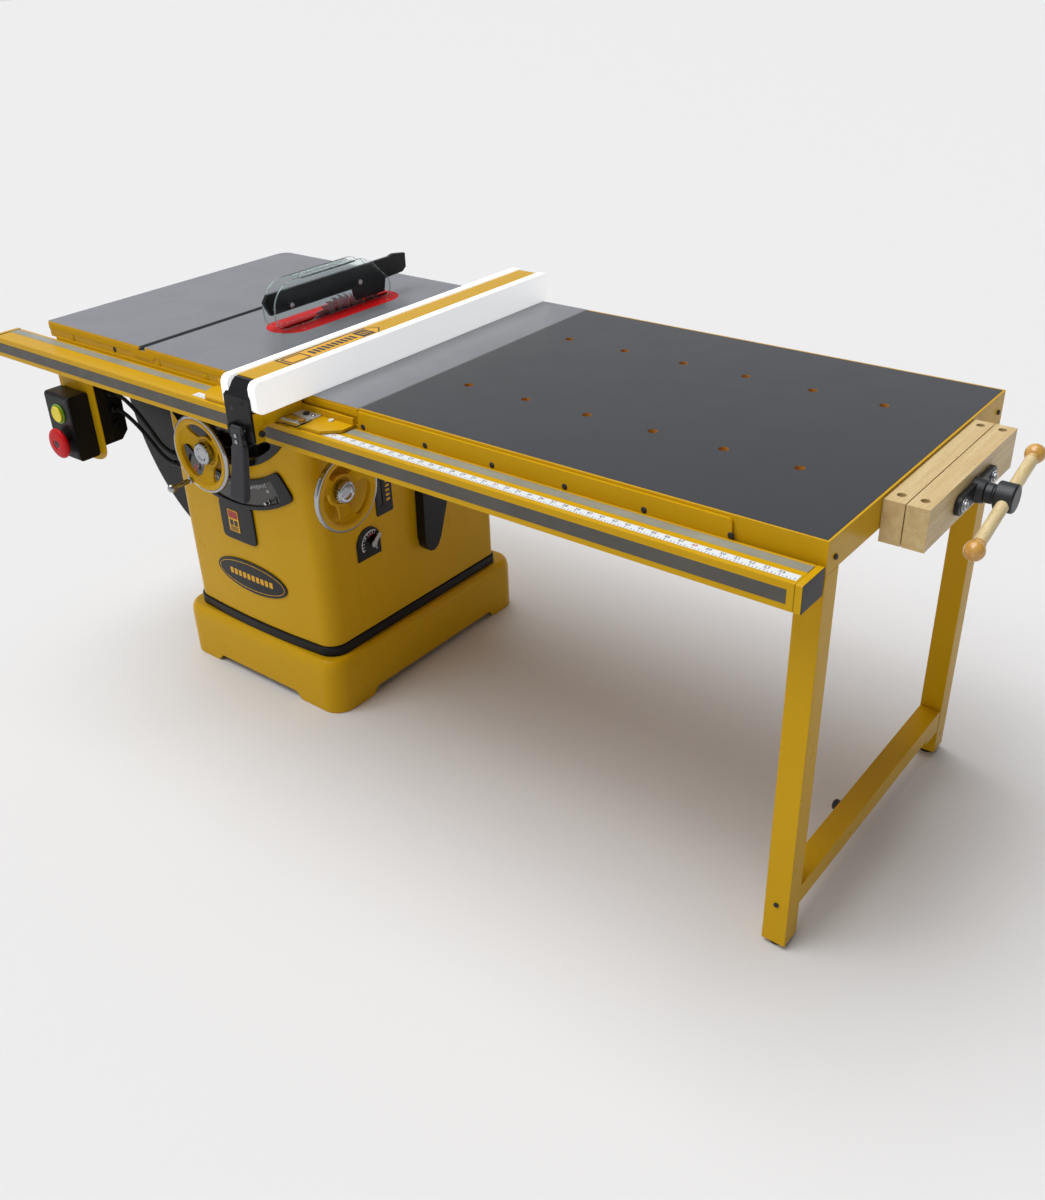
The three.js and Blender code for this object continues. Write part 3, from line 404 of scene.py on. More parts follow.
def arc(u, v, radius, start, end, steps=10):
    """Points on an arc; angles in degrees, anticlockwise from +u."""
    angles = [math.radians(start + (end - start) * i / steps) for i in range(steps + 1)]
    return [(u + radius * math.cos(a), v + radius * math.sin(a)) for a in angles]


def eased_corner(before, point, after, radius, share, steps):
    """Points that round a corner off; share limits the reach to a part of each side."""
    corner = Vector(point)
    back, ahead = Vector(before) - corner, Vector(after) - corner
    reach = min(radius, back.length * share, ahead.length * share)
    start, end = corner + back.normalized() * reach, corner + ahead.normalized() * reach
    curve = []
    for k in range(steps + 1):
        t = k / steps
        curve.append(tuple(start * (1 - t) ** 2 + corner * 2 * t * (1 - t) + end * t * t))
    return curve


def rounded(points, radius, steps=5):
    """A closed outline with its corners rounded."""
    result = []
    for i, point in enumerate(points):
        result += eased_corner(points[i - 1], point, points[(i + 1) % len(points)], radius, 0.49, steps)
    return result


def rectangle(u0, u1, v0, v1, radius=0.0, steps=6):
    corners = [(u0, v0), (u1, v0), (u1, v1), (u0, v1)]
    return rounded(corners, radius, steps) if radius else corners


def circle(u, v, radius, steps=32):
    return arc(u, v, radius, 0, 360 * (steps - 1) / steps, steps - 1)


def sector(u, v, inner, outer, start, end, steps=24):
    """A ring sector; angles in degrees from straight down, positive towards +u."""
    return arc(u, v, outer, start - 90, end - 90, steps) + arc(u, v, inner, end - 90, start - 90, steps)


def polar_rectangle(inner, outer, start, end, corner, u=0.0, v=0.0):
    """A ring sector with rounded corners; angles in degrees from straight down, positive towards +u."""
    middle = (inner + outer) / 2
    half = math.radians(end - start) / 2 * middle
    flat = rectangle(-half, half, inner, outer, corner)
    points = []
    for i, point in enumerate(flat):
        before = Vector(flat[i - 1])
        gap = (Vector(point) - before).length
        steps = max(int(gap / 6), 1)
        for k in range(1, steps + 1):
            across, radius = before.lerp(Vector(point), k / steps)
            angle = math.radians((start + end) / 2 - 90) + across / middle
            points.append((u + radius * math.cos(angle), v + radius * math.sin(angle)))
    return points


def slab(outlines, axis, low, high, rim=0.0, steps=2):
    """A plate through closed outlines, the first its edge and the rest its holes, with rounded rims."""
    bm = bmesh.new()
    edges = []
    for outline in outlines:
        ring = [bm.verts.new((u, v, low)) for u, v in outline]
        edges += [bm.edges.new((ring[i - 1], ring[i])) for i in range(len(ring))]
    bmesh.ops.triangle_fill(bm, edges=edges, use_beauty=True)
    pushed = bmesh.ops.extrude_face_region(bm, geom=bm.faces[:])
    moved = [g for g in pushed["geom"] if isinstance(g, bmesh.types.BMVert)]
    bmesh.ops.translate(bm, verts=moved, vec=(0, 0, high - low))
    bmesh.ops.dissolve_limit(bm, angle_limit=0.001, verts=bm.verts[:], edges=bm.edges[:])
    if rim:
        rims = [e for e in bm.edges if len(e.link_faces) == 2 and e.verts[0].co.z == e.verts[1].co.z
                and abs(e.calc_face_angle()) > 1.2]
        bmesh.ops.bevel(bm, geom=rims, offset=rim, segments=steps, profile=0.5, affect="EDGES")
    bmesh.ops.transform(bm, matrix=TURN[axis], verts=bm.verts)
    bmesh.ops.recalc_face_normals(bm, faces=bm.faces)
    return bm


def brick(x0, x1, y0, y1, z0, z1, rim=0.5, steps=2):
    bm = bmesh.new()
    place = Matrix.Translation(((x0 + x1) / 2, (y0 + y1) / 2, (z0 + z1) / 2))
    size = Matrix.Diagonal((x1 - x0, y1 - y0, z1 - z0, 1))
    bmesh.ops.create_cube(bm, size=1, matrix=place @ size)
    if rim:
        bmesh.ops.bevel(bm, geom=bm.edges[:], offset=rim, segments=steps, profile=0.5, affect="EDGES")
    return bm


def loft(rings, closed=False, capped=True):
    """A skin over rings of equal length; closed joins the last ring to the first."""
    bm = bmesh.new()
    rows = [[bm.verts.new(p) for p in ring] for ring in rings]
    pairs = list(zip(rows, rows[1:])) + ([(rows[-1], rows[0])] if closed else [])
    for a, b in pairs:
        for i in range(len(a)):
            bm.faces.new((a[i - 1], a[i], b[i], b[i - 1]))
    if capped and not closed:
        bm.faces.new(rows[0])
        bm.faces.new(rows[-1])
    bmesh.ops.recalc_face_normals(bm, faces=bm.faces)
    return bm


def lathe(profile, axis, place, segments=48, flutes=0, depth=0.0, fluted=()):
    """A turned solid. profile is [(radius, height)...] from the axis back to the axis, height along +axis.

    flutes cuts that many shallow grooves, depth deep, in the profile points listed in fluted."""
    bm = bmesh.new()
    rows = []
    for index, (radius, height) in enumerate(profile):
        if radius < 1e-6:
            rows.append([bm.verts.new((0, 0, height))])
            continue
        row = []
        for i in range(segments):
            angle = 2 * math.pi * i / segments
            cut = depth * (0.5 + 0.5 * math.cos(flutes * angle)) if index in fluted else 0
            reach = radius - cut
            row.append(bm.verts.new((reach * math.cos(angle), reach * math.sin(angle), height)))
        rows.append(row)
    for a, b in zip(rows, rows[1:]):
        for i in range(segments):
            start = a if len(a) == 1 else [a[i - 1], a[i]]
            end = b if len(b) == 1 else [b[i], b[i - 1]]
            if len(start) + len(end) > 2:
                bm.faces.new(start + end)
    if len(rows[0]) > 1 and len(rows[-1]) > 1:
        for i in range(segments):
            bm.faces.new((rows[-1][i - 1], rows[-1][i], rows[0][i], rows[0][i - 1]))
    bmesh.ops.transform(bm, matrix=Matrix.Translation(place) @ TURN[axis], verts=bm.verts)
    bmesh.ops.recalc_face_normals(bm, faces=bm.faces)
    return bm


def soft_profile(points, radius=1.0, steps=3):
    """A lathe profile with its corners rounded; the two ends stay on the axis."""
    result = [points[0]]
    for before, point, after in zip(points, points[1:], points[2:]):
        result += eased_corner(before, point, after, radius, 0.45, steps)
    return result + [points[-1]]


def foot_of(place, axis):
    """Where the line through a place along an axis starts, at zero on that axis."""
    start = list(place)
    start["xyz".index(axis)] = 0
    return start


def bar(axis, radius, low, high, place, rim=0.8, segments=32):
    """A round bar along an axis from low to high; place is any point on its line."""
    profile = soft_profile([(0, low), (radius, low), (radius, high), (0, high)], rim)
    return lathe(profile, axis, foot_of(place, axis), segments)


def ring(axis, inner, outer, low, high, place, rim=0.6, segments=48):
    """A tube or washer along an axis."""
    profile = rounded([(inner, low), (outer, low), (outer, high), (inner, high)], rim, 3)
    return lathe(profile, axis, foot_of(place, axis), segments)


def hex_bolt(axis, place, radius, height, side=1):
    """A hexagon head on a washer; place is on the surface and side says which way it stands out."""
    u, v = [place[i] for i in range(3) if "xyz"[i] != axis]
    base = place["xyz".index(axis)]
    hexagon = arc(u, v, radius, 0, 300, 5)
    near, far = sorted((base + side * 1.2, base + side * (1.2 + height)))
    head = slab([hexagon], axis, near, far, rim=radius * 0.1)
    low, high = sorted((base, base + side * 1.2))
    return join(head, bar(axis, radius * 1.35, low, high, place, 0.3))


def socket_bolt(axis, place, radius, height, side=1):
    """A round cap screw with a hexagon socket."""
    top = side * height
    socket, floor = radius * 0.48, top * 0.55
    shape = [(0, floor), (socket, floor), (socket, top), (radius, top), (radius, 0), (0, 0)]
    return lathe(soft_profile(shape, radius * 0.15), axis, Vector(place), 24)


def domed(axis, place, radius, height, side=1, steps=5):
    """A low dome, such as a rivet or a button-head screw."""
    angles = [math.pi / 2 * (1 - k / steps) for k in range(steps + 1)]
    curve = [(radius * math.cos(a), side * height * math.sin(a)) for a in angles]
    return lathe(curve + [(0, 0)], axis, Vector(place), 24)


def smooth_path(points, steps=8):
    """A Catmull-Rom line through the points."""
    line = [Vector(p) for p in points]
    ends = [line[0] * 2 - line[1], *line, line[-1] * 2 - line[-2]]
    path = []
    for a, b, c, d in zip(ends, ends[1:], ends[2:], ends[3:]):
        for k in range(steps):
            t = k / steps
            path.append(0.5 * (2 * b + (c - a) * t + (2 * a - 5 * b + 4 * c - d) * t * t
                               + (3 * b - a - 3 * c + d) * t ** 3))
    return path + [line[-1]]


def sweep(path, radius, sides=16):
    """A round tube with flat ends along a path."""
    side = (path[1] - path[0]).cross(Vector((0, 0, 1)))
    side = side.normalized() if side.length > 1e-6 else Vector((1, 0, 0))
    rings = []
    for i, point in enumerate(path):
        ahead = (path[min(i + 1, len(path) - 1)] - path[max(i - 1, 0)]).normalized()
        side = (side - ahead * side.dot(ahead)).normalized()
        up = ahead.cross(side)
        angles = [2 * math.pi * k / sides for k in range(sides)]
        rings.append([point + radius * (side * math.cos(a) + up * math.sin(a)) for a in angles])
    return loft(rings)


def pour(bm, whole):
    """Adds a shape to another and frees it."""
    mesh = bpy.data.meshes.new("part")
    bm.to_mesh(mesh)
    bm.free()
    whole.from_mesh(mesh)
    bpy.data.meshes.remove(mesh)


def join(*parts):
    whole = bmesh.new()
    for bm in parts:
        pour(bm, whole)
    return whole


def carve(bm, *cutters):
    """The first shape less the others, by exact booleans."""
    def holder(shape):
        mesh = bpy.data.meshes.new("shape")
        shape.to_mesh(mesh)
        shape.free()
        thing = bpy.data.objects.new("shape", mesh)
        bpy.context.scene.collection.objects.link(thing)
        return thing

    base = holder(bm)
    tools = [holder(cutter) for cutter in cutters]
    for tool in tools:
        cut = base.modifiers.new("cut", "BOOLEAN")
        cut.operation = "DIFFERENCE"
        cut.solver = "EXACT"
        cut.object = tool
    bpy.context.view_layer.update()
    result = bpy.data.meshes.new_from_object(base.evaluated_get(bpy.context.evaluated_depsgraph_get()))
    whole = bmesh.new()
    whole.from_mesh(result)
    bpy.data.meshes.remove(result)
    for thing in [base, *tools]:
        mesh = thing.data
        bpy.data.objects.remove(thing)
        bpy.data.meshes.remove(mesh)
    bmesh.ops.dissolve_limit(whole, angle_limit=0.002, verts=whole.verts[:], edges=whole.edges[:])
    return whole


def turned_by(bm, matrix, about=(0, 0, 0)):
    """The same shape turned or moved by a matrix about a point."""
    place = Matrix.Translation(about)
    bmesh.ops.transform(bm, matrix=place @ matrix @ place.inverted(), verts=bm.verts)
    return bm


def shifted(bm, x=0.0, y=0.0, z=0.0):
    bmesh.ops.translate(bm, verts=bm.verts, vec=(x, y, z))
    return bm


def lettering(text, size, axis="z", thickness=0.15):
    """Small raised numbers, drawn at the origin and centred."""
    curve = bpy.data.curves.new("text", "FONT")
    curve.body = text
    curve.size = size
    curve.extrude = thickness
    curve.align_x = "CENTER"
    curve.align_y = "CENTER"
    curve.resolution_u = 2
    holder = bpy.data.objects.new("text", curve)
    mesh = bpy.data.meshes.new_from_object(holder)
    bm = bmesh.new()
    bm.from_mesh(mesh)
    bpy.data.objects.remove(holder)
    bpy.data.meshes.remove(mesh)
    bpy.data.curves.remove(curve)
    bmesh.ops.remove_doubles(bm, verts=bm.verts, dist=0.001)
    bmesh.ops.transform(bm, matrix=TURN[axis], verts=bm.verts)
    bmesh.ops.recalc_face_normals(bm, faces=bm.faces)
    return bm


# ---------------------------------------------------------------- making objects
def shade(mesh, angle):
    mesh.shade_smooth()
    mesh.set_sharp_from_angle(angle=math.radians(angle))


def piece(name, body, parts, replaces=(), angle=38):
    """One object from (shape, material name) parts, in the row frame, riding on a CAD body."""
    names = list(dict.fromkeys(material for _, material in parts))
    whole = bmesh.new()
    for bm, material in parts:
        for face in bm.faces:
            face.material_index = names.index(material)
        pour(bm, whole)
    bmesh.ops.transform(whole, matrix=TO_ROW, verts=whole.verts)
    mesh = bpy.data.meshes.new(name)
    whole.to_mesh(mesh)
    whole.free()
    for material in names:
        mesh.materials.append(M[material])
    shade(mesh, angle)
    thing = bpy.data.objects.new(name, mesh)
    bpy.context.scene.collection.objects.link(thing)
    normals = thing.modifiers.new("even_shading", "WEIGHTED_NORMAL")
    normals.keep_sharp = True
    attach(thing, body)
    if replaces:
        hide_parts(*replaces)
    return thing


def geometry_tree(name):
    """A node group that takes and gives a geometry, with its two end nodes."""
    tree = bpy.data.node_groups.new(name, "GeometryNodeTree")
    for way in ("INPUT", "OUTPUT"):
        tree.interface.new_socket("Geometry", in_out=way, socket_type="NodeSocketGeometry")
    return tree, tree.nodes.new("NodeGroupInput"), tree.nodes.new("NodeGroupOutput")


def weld_group():
    """Geometry nodes that weld a CAD mesh's loose triangles and shade its faces smooth."""
    tree, enter, leave = geometry_tree("weld_and_smooth")
    weld = tree.nodes.new("GeometryNodeMergeByDistance")
    weld.inputs["Distance"].default_value = 1e-6
    faces = tree.nodes.new("GeometryNodeSetShadeSmooth")
    faces.domain = "FACE"
    tree.links.new(enter.outputs[0], weld.inputs["Geometry"])
    tree.links.new(weld.outputs["Geometry"], faces.inputs["Geometry"])
    tree.links.new(faces.outputs["Geometry"], leave.inputs[0])
    return tree


WELD = weld_group()


def sharp_group(angle):
    """Geometry nodes that keep edges sharper than an angle sharp."""
    tree, enter, leave = geometry_tree("sharp_edges")
    turn = tree.nodes.new("GeometryNodeInputMeshEdgeAngle")
    above = tree.nodes.new("ShaderNodeMath")
    above.operation = "GREATER_THAN"
    above.inputs[1].default_value = math.radians(angle)
    edges = tree.nodes.new("GeometryNodeSetShadeSmooth")
    edges.domain = "EDGE"
    edges.inputs["Shade Smooth"].default_value = False
    tree.links.new(enter.outputs[0], edges.inputs["Geometry"])
    tree.links.new(turn.outputs["Unsigned Angle"], above.inputs[0])
    tree.links.new(above.outputs["Value"], edges.inputs["Selection"])
    tree.links.new(edges.outputs["Geometry"], leave.inputs[0])
    return tree


SHARP = sharp_group(38)


def overpaint(material, mask, colour):
    """Another colour over a painted material where the mask is 1."""
    tree = material.node_tree
    base = tree.nodes["Principled BSDF"].inputs["Base Color"]
    tree.links.new(mix(tree, mask, base.links[0].from_socket, colour), base)
    return material


def frame_paint():
    """Gold paint, with the thin edge that lies between the cast iron and the laminate left grey."""
    material = painted("frame_paint", GOLD)
    tree = material.node_tree
    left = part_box("extension_frame")[0].x
    near = calculate(tree, "LESS_THAN", axis_value(tree, "Object", "X"), left + 0.0046)
    on_top = calculate(tree, "GREATER_THAN", axis_value(tree, "Normal", "Z"), 0.5)
    return overpaint(material, calculate(tree, "MULTIPLY", near, on_top), srgb(112, 114, 118))


def cap_paint():
    """The rail's end caps: the tube's gold paint wraps round them, and only the end face is black."""
    material = painted("cap_paint", GOLD)
    tree = material.node_tree
    sideways = calculate(tree, "ABSOLUTE", axis_value(tree, "Normal", "X"))
    return overpaint(material, calculate(tree, "GREATER_THAN", sideways, 0.3), srgb(12, 12, 13))


def refine(node, rim=0.8, steps=2, material=None):
    """A CAD node kept as it is, welded, with its edges eased and its own material."""
    thing = NODES[node]
    for place in thing.material_slots:
        place.material = M[material or place.material.name.split(".")[0]]
    weld = thing.modifiers.new("weld", "NODES")
    weld.node_group = WELD
    flat = thing.modifiers.new("flatten", "DECIMATE")
    flat.decimate_type = "DISSOLVE"
    flat.angle_limit = math.radians(0.5)
    if rim:
        ease = thing.modifiers.new("ease", "BEVEL")
        ease.width = rim * MM
        ease.segments = steps
        ease.limit_method = "ANGLE"
        ease.angle_limit = math.radians(32)
        ease.use_clamp_overlap = True
    sharp = thing.modifiers.new("sharp", "NODES")
    sharp.node_group = SHARP
    normals = thing.modifiers.new("even_shading", "WEIGHTED_NORMAL")
    normals.keep_sharp = True


# ---------------------------------------------------------------- cabinet and base
BLADE_X = Box("blade").x
TABLE_TOP = Box("main_table").z1
MITRE_OFFSET = 175  # from the blade to each mitre slot
CABINET_CORNER = 45
CABINET_REAR_CORNER = 20
FRONT_CORNERS_Y = Box("front_fascia").y0 + 8.6  # where the bowed front meets its round corners
BOW = 18


def cabinet_front(x, proud=0.0):
    """The y of the bowed cabinet front at x, or of a plate standing proud of it."""
    shell = Box("front_fascia")
    width = shell.x1 - shell.x0 - 2 * CABINET_CORNER
    t = min(max((x - shell.x0 - CABINET_CORNER) / width, 0), 1)
    return FRONT_CORNERS_Y - 2 * BOW * t * (1 - t) - proud


def cabinet_outline(grow, steps=14):
    shell, fascia = Box("cabinet_shell"), Box("front_fascia")
    left, right, back = fascia.x0 - grow, fascia.x1 + grow, shell.y1 + grow
    corner, rear = CABINET_CORNER + grow, CABINET_REAR_CORNER + grow
    front = FRONT_CORNERS_Y - grow
    points = []
    for i in range(steps + 1):
        x = left + corner + (right - left - 2 * corner) * i / steps
        points.append((x, cabinet_front(x, grow)))
    points += arc(right - corner, front + corner, corner, -90, 0, steps)
    points += arc(right - rear, back - rear, rear, 0, 90, steps)
    points += arc(left + rear, back - rear, rear, 90, 180, steps)
    points += arc(left + corner, front + corner, corner, 180, 270, steps)[:-1]
    return points


def bend_to_front(bm, proud, step=12):
    """Lays a flat plate, drawn with its back at y 0, on the bowed cabinet front, proud of it."""
    xs = [v.co.x for v in bm.verts]
    x = min(xs) + step
    while x < max(xs):
        everything = bm.verts[:] + bm.edges[:] + bm.faces[:]
        bmesh.ops.bisect_plane(bm, geom=everything, plane_co=(x, 0, 0), plane_no=(1, 0, 0))
        x += step
    for v in bm.verts:
        v.co.y += cabinet_front(v.co.x, proud)
    return bm


def make_plinth():
    node = Box("plinth")
    corner, wall, arch, slope = 50, 8, 19, 22
    side_steps, corner_steps = 110, 10

    def outline(inset):
        r = max(corner - inset, 4)
        x0, x1, y0, y1 = node.x0 + inset, node.x1 - inset, node.y0 + inset, node.y1 - inset
        middles = [(x1 - r, y0 + r, -90), (x1 - r, y1 - r, 0), (x0 + r, y1 - r, 90), (x0 + r, y0 + r, 180)]
        points = []
        for i, (u, v, start) in enumerate(middles):
            turn = arc(u, v, r, start, start + 90, corner_steps)
            back_u, back_v, back_start = middles[i - 1]
            came = Vector(arc(back_u, back_v, r, back_start, back_start + 90, 1)[-1])
            points += [tuple(came.lerp(Vector(turn[0]), k / side_steps)) for k in range(1, side_steps)]
            points += turn
        return points

    def foot_cut(value, low, high):
        """Height of the arch between two feet."""
        inside = min(value - low, high - value)
        share = min(max(inside / slope, 0), 1)
        return arch * share * share * (3 - 2 * share)

    def underside(x, y):
        on_front = min(y - node.y0, node.y1 - y) < min(x - node.x0, node.x1 - x)
        return foot_cut(x, 390, 715) if on_front else foot_cut(y, 155, 635)

    plan = outline(0)
    lows = [underside(x, y) for x, y in plan]

    def ring(inset, height=None, above=0.0):
        return [(x, y, height if height is not None else low + above)
                for (x, y), low in zip(outline(inset), lows)]

    rings = [ring(wall, 112), ring(wall), ring(2.5), ring(0.8, above=0.8), ring(0, above=2.6)]
    rings += [ring(0, 60), ring(0, 112)]
    for angle in range(0, 91, 10):  # the rolled shoulder
        a = math.radians(angle)
        rings.append(ring(16 * (1 - math.cos(a)) ** 1.15, 112 + (node.z1 - 112) * math.sin(a)))
    piece("base_plinth", "saw_body", [(loft(rings), "gold_paint")], ["plinth"])


def make_band():
    node = Box("base_band")
    height = node.z1 - node.z0
    profile = [(-11, 0), (3.5, 0), (5, 1.6), (5, height - 2.2), (3, height), (-11, height)]
    rings = [[(x, y, node.z0 + z) for x, y in cabinet_outline(grow)] for grow, z in profile]
    piece("black_band", "saw_body", [(loft(rings, closed=True), "black_plastic")],
          ["base_band"])


def make_badge():
    """An oval plate with no words: a thin gold line round a row of blank gold blocks."""
    middle, width, height = (566, 298), 254, 88

    def oval(inset, steps=56):
        a, b = width / 2 - inset, height / 2 - inset
        turns = [2 * math.pi * i / steps for i in range(steps)]
        return [(middle[0] + a * math.cos(turn), middle[1] + b * math.sin(turn)) for turn in turns]

    plate = bend_to_front(slab([oval(0)], "y", -3.0, 0, rim=1.2), 0.2)
    line = bend_to_front(slab([oval(8), oval(9.4)], "y", -0.5, 0), 3.1)
    blocks = [bend_to_front(slab([rectangle(x, x + 11, middle[1] - 8, middle[1] + 8, 2)], "y", -0.5, 0), 3.1)
              for x in range(middle[0] - 77, middle[0] + 70, 16)]
    parts = [(plate, "gloss_black"), (join(line, *blocks), "mark_gold")]
    piece("front_badge", "saw_body", parts)


def make_tongue_label():
    x0, x1, z0, z1 = 521, 559, 419, 477
    proud = 6.4

    def mark(outline):
        return bend_to_front(slab([outline], "y", -0.3, 0), proud + 0.4)

    field = bend_to_front(slab([rectangle(x0, x1, z0, z1, 2)], "y", -0.4, 0), proud)
    head = mark(rectangle(x0 + 3, x1 - 3, z1 - 22, z1 - 3, 1))
    blocks = [mark(rectangle(left, left + 12, z0 + 16, z0 + 31, 3)) for left in (x0 + 5, x0 + 21)]
    bars = [mark(rectangle(x0 + 5, x1 - 5, z, z + 2)) for z in (z0 + 3, z0 + 7, z0 + 11)]
    parts = [(field, "mark_gold"), (head, "label_red"), (join(*blocks, *bars), "black_marks_and_painted_shade")]
    piece("tongue_label", "saw_body", parts)


def polar(radius, angle):
    """The x and z of a point by its distance and angle, in degrees from straight down, about the tilt axis."""
    a = math.radians(angle - 90)
    return BLADE_X + radius * math.cos(a), TABLE_TOP + radius * math.sin(a)


def make_tilt_bezel():
    window = polar_rectangle(309, 362, -28, 28, 9, BLADE_X, TABLE_TOP)
    edge = polar_rectangle(296, 373, -35, 35, 18, BLADE_X, TABLE_TOP)
    smile = slab([edge, window], "y", -5.7, 0, rim=2.0, steps=3)
    tongue = slab([rectangle(490, 612, 395, 500, 16)], "y", -5.5, 0, rim=2.0, steps=3)
    parts = [(join(bend_to_front(smile, 0.3), bend_to_front(tongue, 0.35)), "gloss_black")]
    piece("tilt_bezel_moulding", "saw_body", parts, ["tilt_bezel"])

    moon = polar_rectangle(96, 265, -61, 61, 14, BLADE_X, TABLE_TOP)
    slot = polar_rectangle(221, 248, -12, 42, 12, BLADE_X, TABLE_TOP)
    plate = bend_to_front(slab([moon, slot], "y", -4.7, 0, rim=1.6, steps=3), 0.3)
    piece("shaft_bezel_moulding", "saw_body", [(plate, "gloss_black")], ["shaft_bezel"])


def make_scale_panel():
    panel = bend_to_front(slab([sector(BLADE_X, TABLE_TOP, 304, 367, -31, 31, 40)], "y", -1.0, 0), 0.3)
    marks = []
    for degree in range(0, 46):
        angle = degree - 22.5
        length = 12 if degree % 5 == 0 else 7
        x, z = polar(316, angle)
        tick = brick(-0.5, 0.5, -0.3, 0, -length / 2, length / 2, 0)
        turned_by(tick, Matrix.Rotation(math.radians(-angle), 4, "Y"))
        marks.append(shifted(tick, x, cabinet_front(x, 1.4), z))
    for degree in range(0, 46, 15):
        angle = degree - 22.5
        x, z = polar(331, angle)
        number = lettering(str(degree), 10, "y", 0.1)
        turned_by(number, Matrix.Rotation(math.radians(-angle), 4, "Y"))
        marks.append(shifted(number, x, cabinet_front(x, 1.5), z))
    parts = [(panel, "smoked"), (join(*marks), "tape_white")]
    piece("tilt_scale", "saw_body", parts)

    x, z = polar(355, 21)
    front = cabinet_front(x, 1.3)
    stud = soft_profile([(0, 0), (6, 0), (6, -4), (4.5, -5), (4.5, -13), (3, -15), (0, -15)], 0.8)
    # a flat black patch beside the stud: painted shade standing in for the slot there
    patch = brick(x + 20, x + 28, front - 0.6, front, z + 2, z + 18, 0.2)
    parts = [(lathe(stud, "y", (x, front, z), 28), "chrome"), (patch, "black_marks_and_painted_shade")]
    piece("scale_stud", "saw_body", parts)

    x, z = polar(330, -22.5)
    front = cabinet_front(BLADE_X, 2.6)
    arrow = slab([[(-3, -14), (3, -14), (3, 4), (0, 12), (-3, 4)]], "y", -1.2, 0, rim=0.2)
    turned_by(arrow, Matrix.Rotation(math.radians(22.5), 4, "Y"))
    parts = [(shifted(arrow, x, front, z), "mark_red")]
    piece("tilt_pointer", "tilting_frame", parts)


def make_side_plates():
    """On the right side: the round-topped dial plate and the slotted plate above it."""
    face = Box("cabinet_shell").x1 - 38  # the shell's box ends at the peg
    low, radius, middle = 362, 39.5, (215.5, 402.5)
    arch = [(middle[0] - radius, low), (middle[0] + radius, low)] + arc(*middle, radius, 0, 180, 24)
    plate = slab([rounded(arch, 1.5, 2)], "x", face, face + 3.2, rim=1.0)
    dial_y, dial_z = 224, 398
    low_face, high_face = face + 3.2, face + 3.5

    def dial_arc(inner, outer, start, end, steps):
        outline = arc(dial_y, dial_z, outer, start, end, steps) + arc(dial_y, dial_z, inner, end, start, steps)
        return slab([outline], "x", low_face, high_face)

    scale = dial_arc(31, 33, 60, 205, 24)
    ticks = []
    for i in range(9):
        angle = math.radians(60 + 145 * i / 8)
        tick = brick(0, 0.4, -3, 3, -0.6, 0.6, 0)
        turned_by(tick, Matrix.Rotation(angle, 4, "X"))
        ticks.append(shifted(tick, low_face, dial_y + 27 * math.cos(angle), dial_z + 27 * math.sin(angle)))
    digits = []
    for text, y, z in (("1", 243, 412), ("2", 205, 415), ("3", 196, 385), ("0", 240, 378)):
        number = turned_by(lettering(text, 9, "y", 0.1), Matrix.Rotation(math.pi / 2, 4, "Z"))
        digits.append(shifted(number, face + 3.4, y, z))
    reds = dial_arc(21.5, 24, 60, 110, 10)
    parts = [(plate, "gloss_black"), (join(scale, *ticks, *digits), "tape_white"), (reds, "mark_red")]
    piece("dial_plate", "saw_body", parts)

    outline = rectangle(252, 308, 454, 560, 5)
    slot = rectangle(262, 275, 478, 545, 4)
    plate = slab([outline, slot], "x", face, face + 2.5, rim=0.6)
    back = slab([rectangle(258, 279, 474, 549, 3)], "x", face, face + 0.6)
    marks = [brick(face + 2.5, face + 2.8, 287, 299, z, z + 6, 0) for z in range(484, 540, 12)]
    parts = [(plate, "gloss_black"), (back, "black_marks_and_painted_shade"), (join(*marks), "mark_gold")]
    piece("slotted_plate", "saw_body", parts)


def make_motor_cover():
    node = Box("motor_cover")
    round_over = 14
    wall = 4

    def outline(inset):
        x1 = node.x1
        x0, z0, z1 = node.x0 + inset, node.z0 + inset, node.z1 - inset
        lower = [(300, z0), (150 + inset, 430 + inset), (104 + inset, 600), (x0, 720)]
        curve = []
        for k in range(25):
            t = k / 24
            p = [math.comb(3, n) * (1 - t) ** (3 - n) * t ** n for n in range(4)]
            curve.append((sum(w * q[0] for w, q in zip(p, lower)), sum(w * q[1] for w, q in zip(p, lower))))
        top = arc(x0 + 18, z1 - 18, 18, 180, 90, 8)
        return [(x1, z0)] + curve + top + [(x1, z1)]

    def section(inset, y):
        return [(x, y, z) for x, z in outline(inset)]

    rings = []
    for k in range(7):
        a = math.radians(90 * k / 6)
        rings.append(section(round_over * (1 - math.sin(a)), node.y0 + round_over * (1 - math.cos(a))))
    steps = 10
    for k in range(1, steps):
        rings.append(section(0, node.y0 + round_over + (node.y1 - node.y0 - 2 * round_over) * k / steps))
    for k in range(6, -1, -1):
        a = math.radians(90 * k / 6)
        rings.append(section(round_over * (1 - math.sin(a)), node.y1 - round_over * (1 - math.cos(a))))
    outer = loft(rings)
    inner = loft([section(wall, node.y0 + wall), section(wall, node.y1 - wall)])
    opening = brick(node.x1 - 6, node.x1 + 10, node.y0 + wall, node.y1 - wall, node.z0 + 8, node.z1 - 4, 0)
    shell = carve(outer, inner, opening)
    latch = join(brick(236, 262, node.y0 - 4, node.y0 + 2, 744, 764, 1.5),
                 bar("y", 6, node.y0 - 9, node.y0 - 3, (249, 0, 754), 1.2))
    hinges = [bar("z", 4, z, z + 46, (node.x1, node.y1, 0), 0.8) for z in (420, 700)]
    parts = [(shell, "black_plastic"), (join(latch, *hinges), "black_plastic")]
    piece("motor_cover_shell", "cover", parts, ["motor_cover"])


